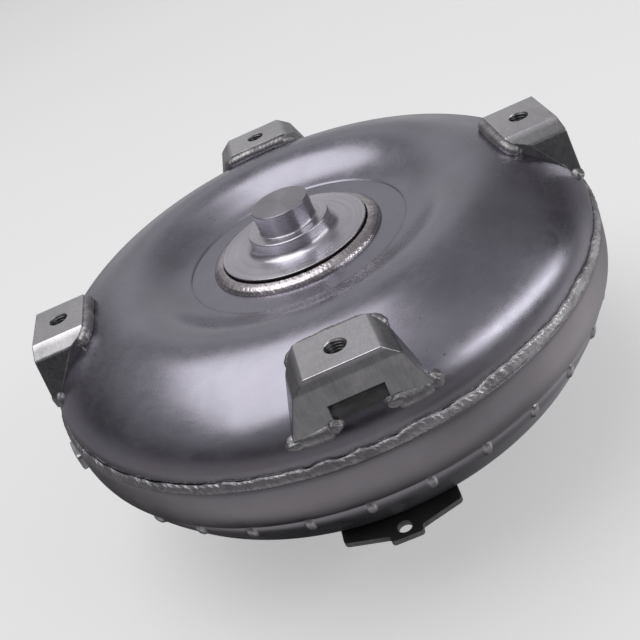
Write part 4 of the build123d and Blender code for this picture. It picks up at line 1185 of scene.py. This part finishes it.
nu, nz_ = len(wu), len(wz)
for i in range(nu - 1):
    for k in range(nz_ - 1):
        g = grid[1]
        faces.append((g[i, k], g[i + 1, k], g[i + 1, k + 1], g[i, k + 1]))
        g = grid[0]
        faces.append((g[i, k], g[i, k + 1], g[i + 1, k + 1], g[i + 1, k]))
for i in range(nu - 1):
    faces.append((grid[0, i, 0], grid[0, i + 1, 0], grid[1, i + 1, 0], grid[1, i, 0]))
    faces.append((grid[0, i + 1, -1], grid[0, i, -1], grid[1, i, -1], grid[1, i + 1, -1]))
for k in range(nz_ - 1):
    faces.append((grid[0, 0, k + 1], grid[0, 0, k], grid[1, 0, k], grid[1, 0, k + 1]))
    faces.append((grid[0, -1, k], grid[0, -1, k + 1], grid[1, -1, k + 1], grid[1, -1, k]))
weight = make_object("weight_skin", verts, faces, M["plated"], sharp_deg=50)
placed(weight, "balance_weight_skin", "housing", ["balance_weight"])

# =================================================================================================
# the CAD pieces that stay visible take their finishes
# =================================================================================================
FINISH = {
    "impeller_blades": "inner", "impeller_core_ring": "inner", "rear_bearing_race_pump": "bearing",
    "turbine_shell": "inner", "turbine_blades": "inner", "turbine_core_ring": "inner", "turbine_hub": "hub", "turbine_rivets": "plated",
    "front_thrust_washer": "bronze", "front_bearing_race_turbine": "bearing", "front_bearing_race_stator": "bearing",
    "front_bearing_cage": "plated", "front_bearing_rollers": "bearing", "rear_bearing_cage": "plated", "rear_bearing_rollers": "bearing",
    "rear_bearing_race_stator": "bearing", "stator_inner_race": "hub", "stator_wheel": "alu", "clutch_outer_race": "bearing",
    "clutch_rollers": "bearing", "clutch_springs": "plated", "rear_side_plate": "bronze", "front_side_plate": "inner", "stator_snap_ring": "inner",
}
for node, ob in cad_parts.items():
    if node in FINISH:
        ob.data.materials.clear()
        ob.data.materials.append(M[FINISH[node]])

# =================================================================================================
# stage: pale floor and soft boxes
# =================================================================================================
def direction(az, el):
    a, e = math.radians(az), math.radians(el)
    return Vector((math.cos(e) * math.cos(a), math.cos(e) * math.sin(a), math.sin(e)))


def softbox(name, az, el, dist, width, height, radiance, roll=0.0, color=(1, 1, 1)):
    data = bpy.data.lights.new(name, "AREA")
    data.shape = "RECTANGLE"
    data.size, data.size_y = width, height
    data.energy = radiance * width * height * 4
    data.color = color
    ob = bpy.data.objects.new(name, data)
    scene.collection.objects.link(ob)
    d = direction(az, el)
    ob.location = Vector((0, 0, 0.12)) + d * dist
    ob.rotation_mode = "QUATERNION"
    q = d.to_track_quat("Z", "Y")
    ob.rotation_quaternion = q @ Matrix.Rotation(math.radians(roll), 4, "Z").to_quaternion()
    return ob


softbox("strip_right", -22.0, 24.0, 2.4, 2.4, 0.55, 1.75, roll=-24.0)
softbox("overhead", 170.0, 74.0, 2.2, 2.4, 1.75, 0.90, roll=0.0)

floor_mat = Nodes("floor")
fv = floor_mat.noise(3.0, 3.0, 0.5)
floor_mat.set(Emission_Color=(0.90, 0.90, 0.905), Emission_Strength=0.42, Base_Color=floor_mat.mix(floor_mat.span(fv, 0.3, 0.7, 0.0, 1.0), (0.86, 0.86, 0.865), (0.88, 0.88, 0.885)), Roughness=0.9)
# seen from above only, so that the underside can be looked at too
clear = floor_mat.tree.nodes.new("ShaderNodeBsdfTransparent")
side_of = floor_mat.tree.nodes.new("ShaderNodeNewGeometry")
both = floor_mat.tree.nodes.new("ShaderNodeMixShader")
floor_mat.link(side_of.outputs["Backfacing"], both.inputs[0])
floor_mat.link(floor_mat.bsdf.outputs["BSDF"], both.inputs[1])
floor_mat.link(clear.outputs["BSDF"], both.inputs[2])
floor_mat.link(both.outputs["Shader"], floor_mat.out.inputs["Surface"])
bm = bmesh.new()
bmesh.ops.create_grid(bm, x_segments=8, y_segments=8, size=20.0)
me = bpy.data.meshes.new("floor")
bm.to_mesh(me)
bm.free()
me.materials.append(floor_mat.mat)
floor = bpy.data.objects.new("floor", me)
scene.collection.objects.link(floor)
floor.location = (0, 0, -0.0004)
floor.visible_glossy = False
floor.visible_shadow = False
floor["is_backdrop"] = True

world = bpy.data.worlds.new("studio")
scene.world = world
world.use_nodes = True
wt_ = world.node_tree
wt_.nodes.clear()
wo = wt_.nodes.new("ShaderNodeOutputWorld")
bg = wt_.nodes.new("ShaderNodeBackground")
tc = wt_.nodes.new("ShaderNodeTexCoord")
sp = wt_.nodes.new("ShaderNodeSeparateXYZ")
mr = wt_.nodes.new("ShaderNodeMapRange")
mr.inputs["From Min"].default_value = -1.0
mr.inputs["From Max"].default_value = 1.0
wt_.links.new(tc.outputs["Generated"], sp.inputs[0])
wt_.links.new(sp.outputs[2], mr.inputs["Value"])
rp = wt_.nodes.new("ShaderNodeValToRGB")
wt_.links.new(mr.outputs["Result"], rp.inputs[0])
# radiance against elevation: dark directly below, a lit floor in front, a dark horizon, a dim ceiling
BANDS = [(-90, 0.06), (-74, 0.10), (-60, 0.20), (-48, 0.33), (-38, 0.38), (-24, 0.21), (-8, 0.19), (2, 0.18), (8, 0.115), (15, 0.06), (24, 0.07), (34, 0.185), (45, 0.205), (62, 0.25), (90, 0.33)]
while len(rp.color_ramp.elements) > 1:
    rp.color_ramp.elements.remove(rp.color_ramp.elements[-1])
for i, (el, v) in enumerate(BANDS):
    pos = (math.sin(math.radians(el)) + 1) / 2
    e = rp.color_ramp.elements[0] if i == 0 else rp.color_ramp.elements.new(pos)
    e.position = pos
    e.color = (v, v * 0.985, v * 1.02, 1)


def glow(az, el, inner, outer, value, base):
    """Adds a soft round patch of light to the surroundings, or takes one away if the value is below zero."""
    d = direction(az, el)
    dot = wt_.nodes.new("ShaderNodeVectorMath")
    dot.operation = "DOT_PRODUCT"
    wt_.links.new(tc.outputs["Generated"], dot.inputs[0])
    dot.inputs[1].default_value = d
    r_ = wt_.nodes.new("ShaderNodeMapRange")
    r_.interpolation_type = "SMOOTHSTEP"
    wt_.links.new(dot.outputs["Value"], r_.inputs["Value"])
    r_.inputs["From Min"].default_value = math.cos(math.radians(outer))
    r_.inputs["From Max"].default_value = math.cos(math.radians(inner))
    r_.inputs["To Min"].default_value = 0.0
    r_.inputs["To Max"].default_value = value
    mx = wt_.nodes.new("ShaderNodeMix")
    mx.data_type = "RGBA"
    mx.blend_type = "ADD"
    mx.inputs[0].default_value = 1.0
    a, b = [q for q in mx.inputs if q.type == "RGBA"]
    wt_.links.new(base, a)
    wt_.links.new(r_.outputs["Result"], b)
    return [q for q in mx.outputs if q.type == "RGBA"][0]


def shade(az, el, inner, outer, factor, base):
    """Dims a soft round patch of the surroundings to this share of its light."""
    d = direction(az, el)
    dot = wt_.nodes.new("ShaderNodeVectorMath")
    dot.operation = "DOT_PRODUCT"
    wt_.links.new(tc.outputs["Generated"], dot.inputs[0])
    dot.inputs[1].default_value = d
    r_ = wt_.nodes.new("ShaderNodeMapRange")
    r_.interpolation_type = "SMOOTHSTEP"
    wt_.links.new(dot.outputs["Value"], r_.inputs["Value"])
    r_.inputs["From Min"].default_value = math.cos(math.radians(outer))
    r_.inputs["From Max"].default_value = math.cos(math.radians(inner))
    r_.inputs["To Min"].default_value = 1.0
    r_.inputs["To Max"].default_value = factor
    sc = wt_.nodes.new("ShaderNodeVectorMath")
    sc.operation = "SCALE"
    wt_.links.new(base, sc.inputs[0])
    wt_.links.new(r_.outputs["Result"], sc.inputs[3])
    return sc.outputs[0]


sky = rp.outputs[0]
sky = glow(88, 10, 13, 35, 0.29, sky)      # pale wall behind
sky = glow(8, -24, 6, 34, 0.20, sky)       # lit floor to the right
sky = glow(118, 42, 8, 30, 0.06, sky)      # dim wall to the left behind
sky = glow(2, 60, 8, 28, 0.07, sky)        # ceiling light to the right
sky = shade(-62, -20, 6, 22, 0.42, sky)    # gap between two reflectors
sky = shade(0, 5, 10, 25, 0.50, sky)       # dark corner to the right
sky = shade(30, 52, 6, 26, 0.75, sky)      # darker corner of the ceiling
sky = shade(137, -55, 14, 42, 0.10, sky)   # floor in the part's own shade
sky = glow(-92, 34, 10, 34, -0.07, sky)    # dark side of the room, behind the camera
wt_.links.new(sky, bg.inputs["Color"])
bg.inputs["Strength"].default_value = 1.0
# the backdrop itself is as pale as the floor
plain = wt_.nodes.new("ShaderNodeBackground")
plain.inputs["Color"].default_value = (0.72, 0.72, 0.725, 1)
ray = wt_.nodes.new("ShaderNodeLightPath")
backdrop = wt_.nodes.new("ShaderNodeMixShader")
wt_.links.new(ray.outputs["Is Camera Ray"], backdrop.inputs[0])
wt_.links.new(bg.outputs["Background"], backdrop.inputs[1])
wt_.links.new(plain.outputs["Background"], backdrop.inputs[2])
wt_.links.new(backdrop.outputs["Shader"], wo.inputs["Surface"])

scene.view_settings.view_transform = "Standard"
scene.view_settings.look = "None"
scene.view_settings.exposure = 0.0

{"cad": CAD_BOX, "visual": as_lists(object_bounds())}
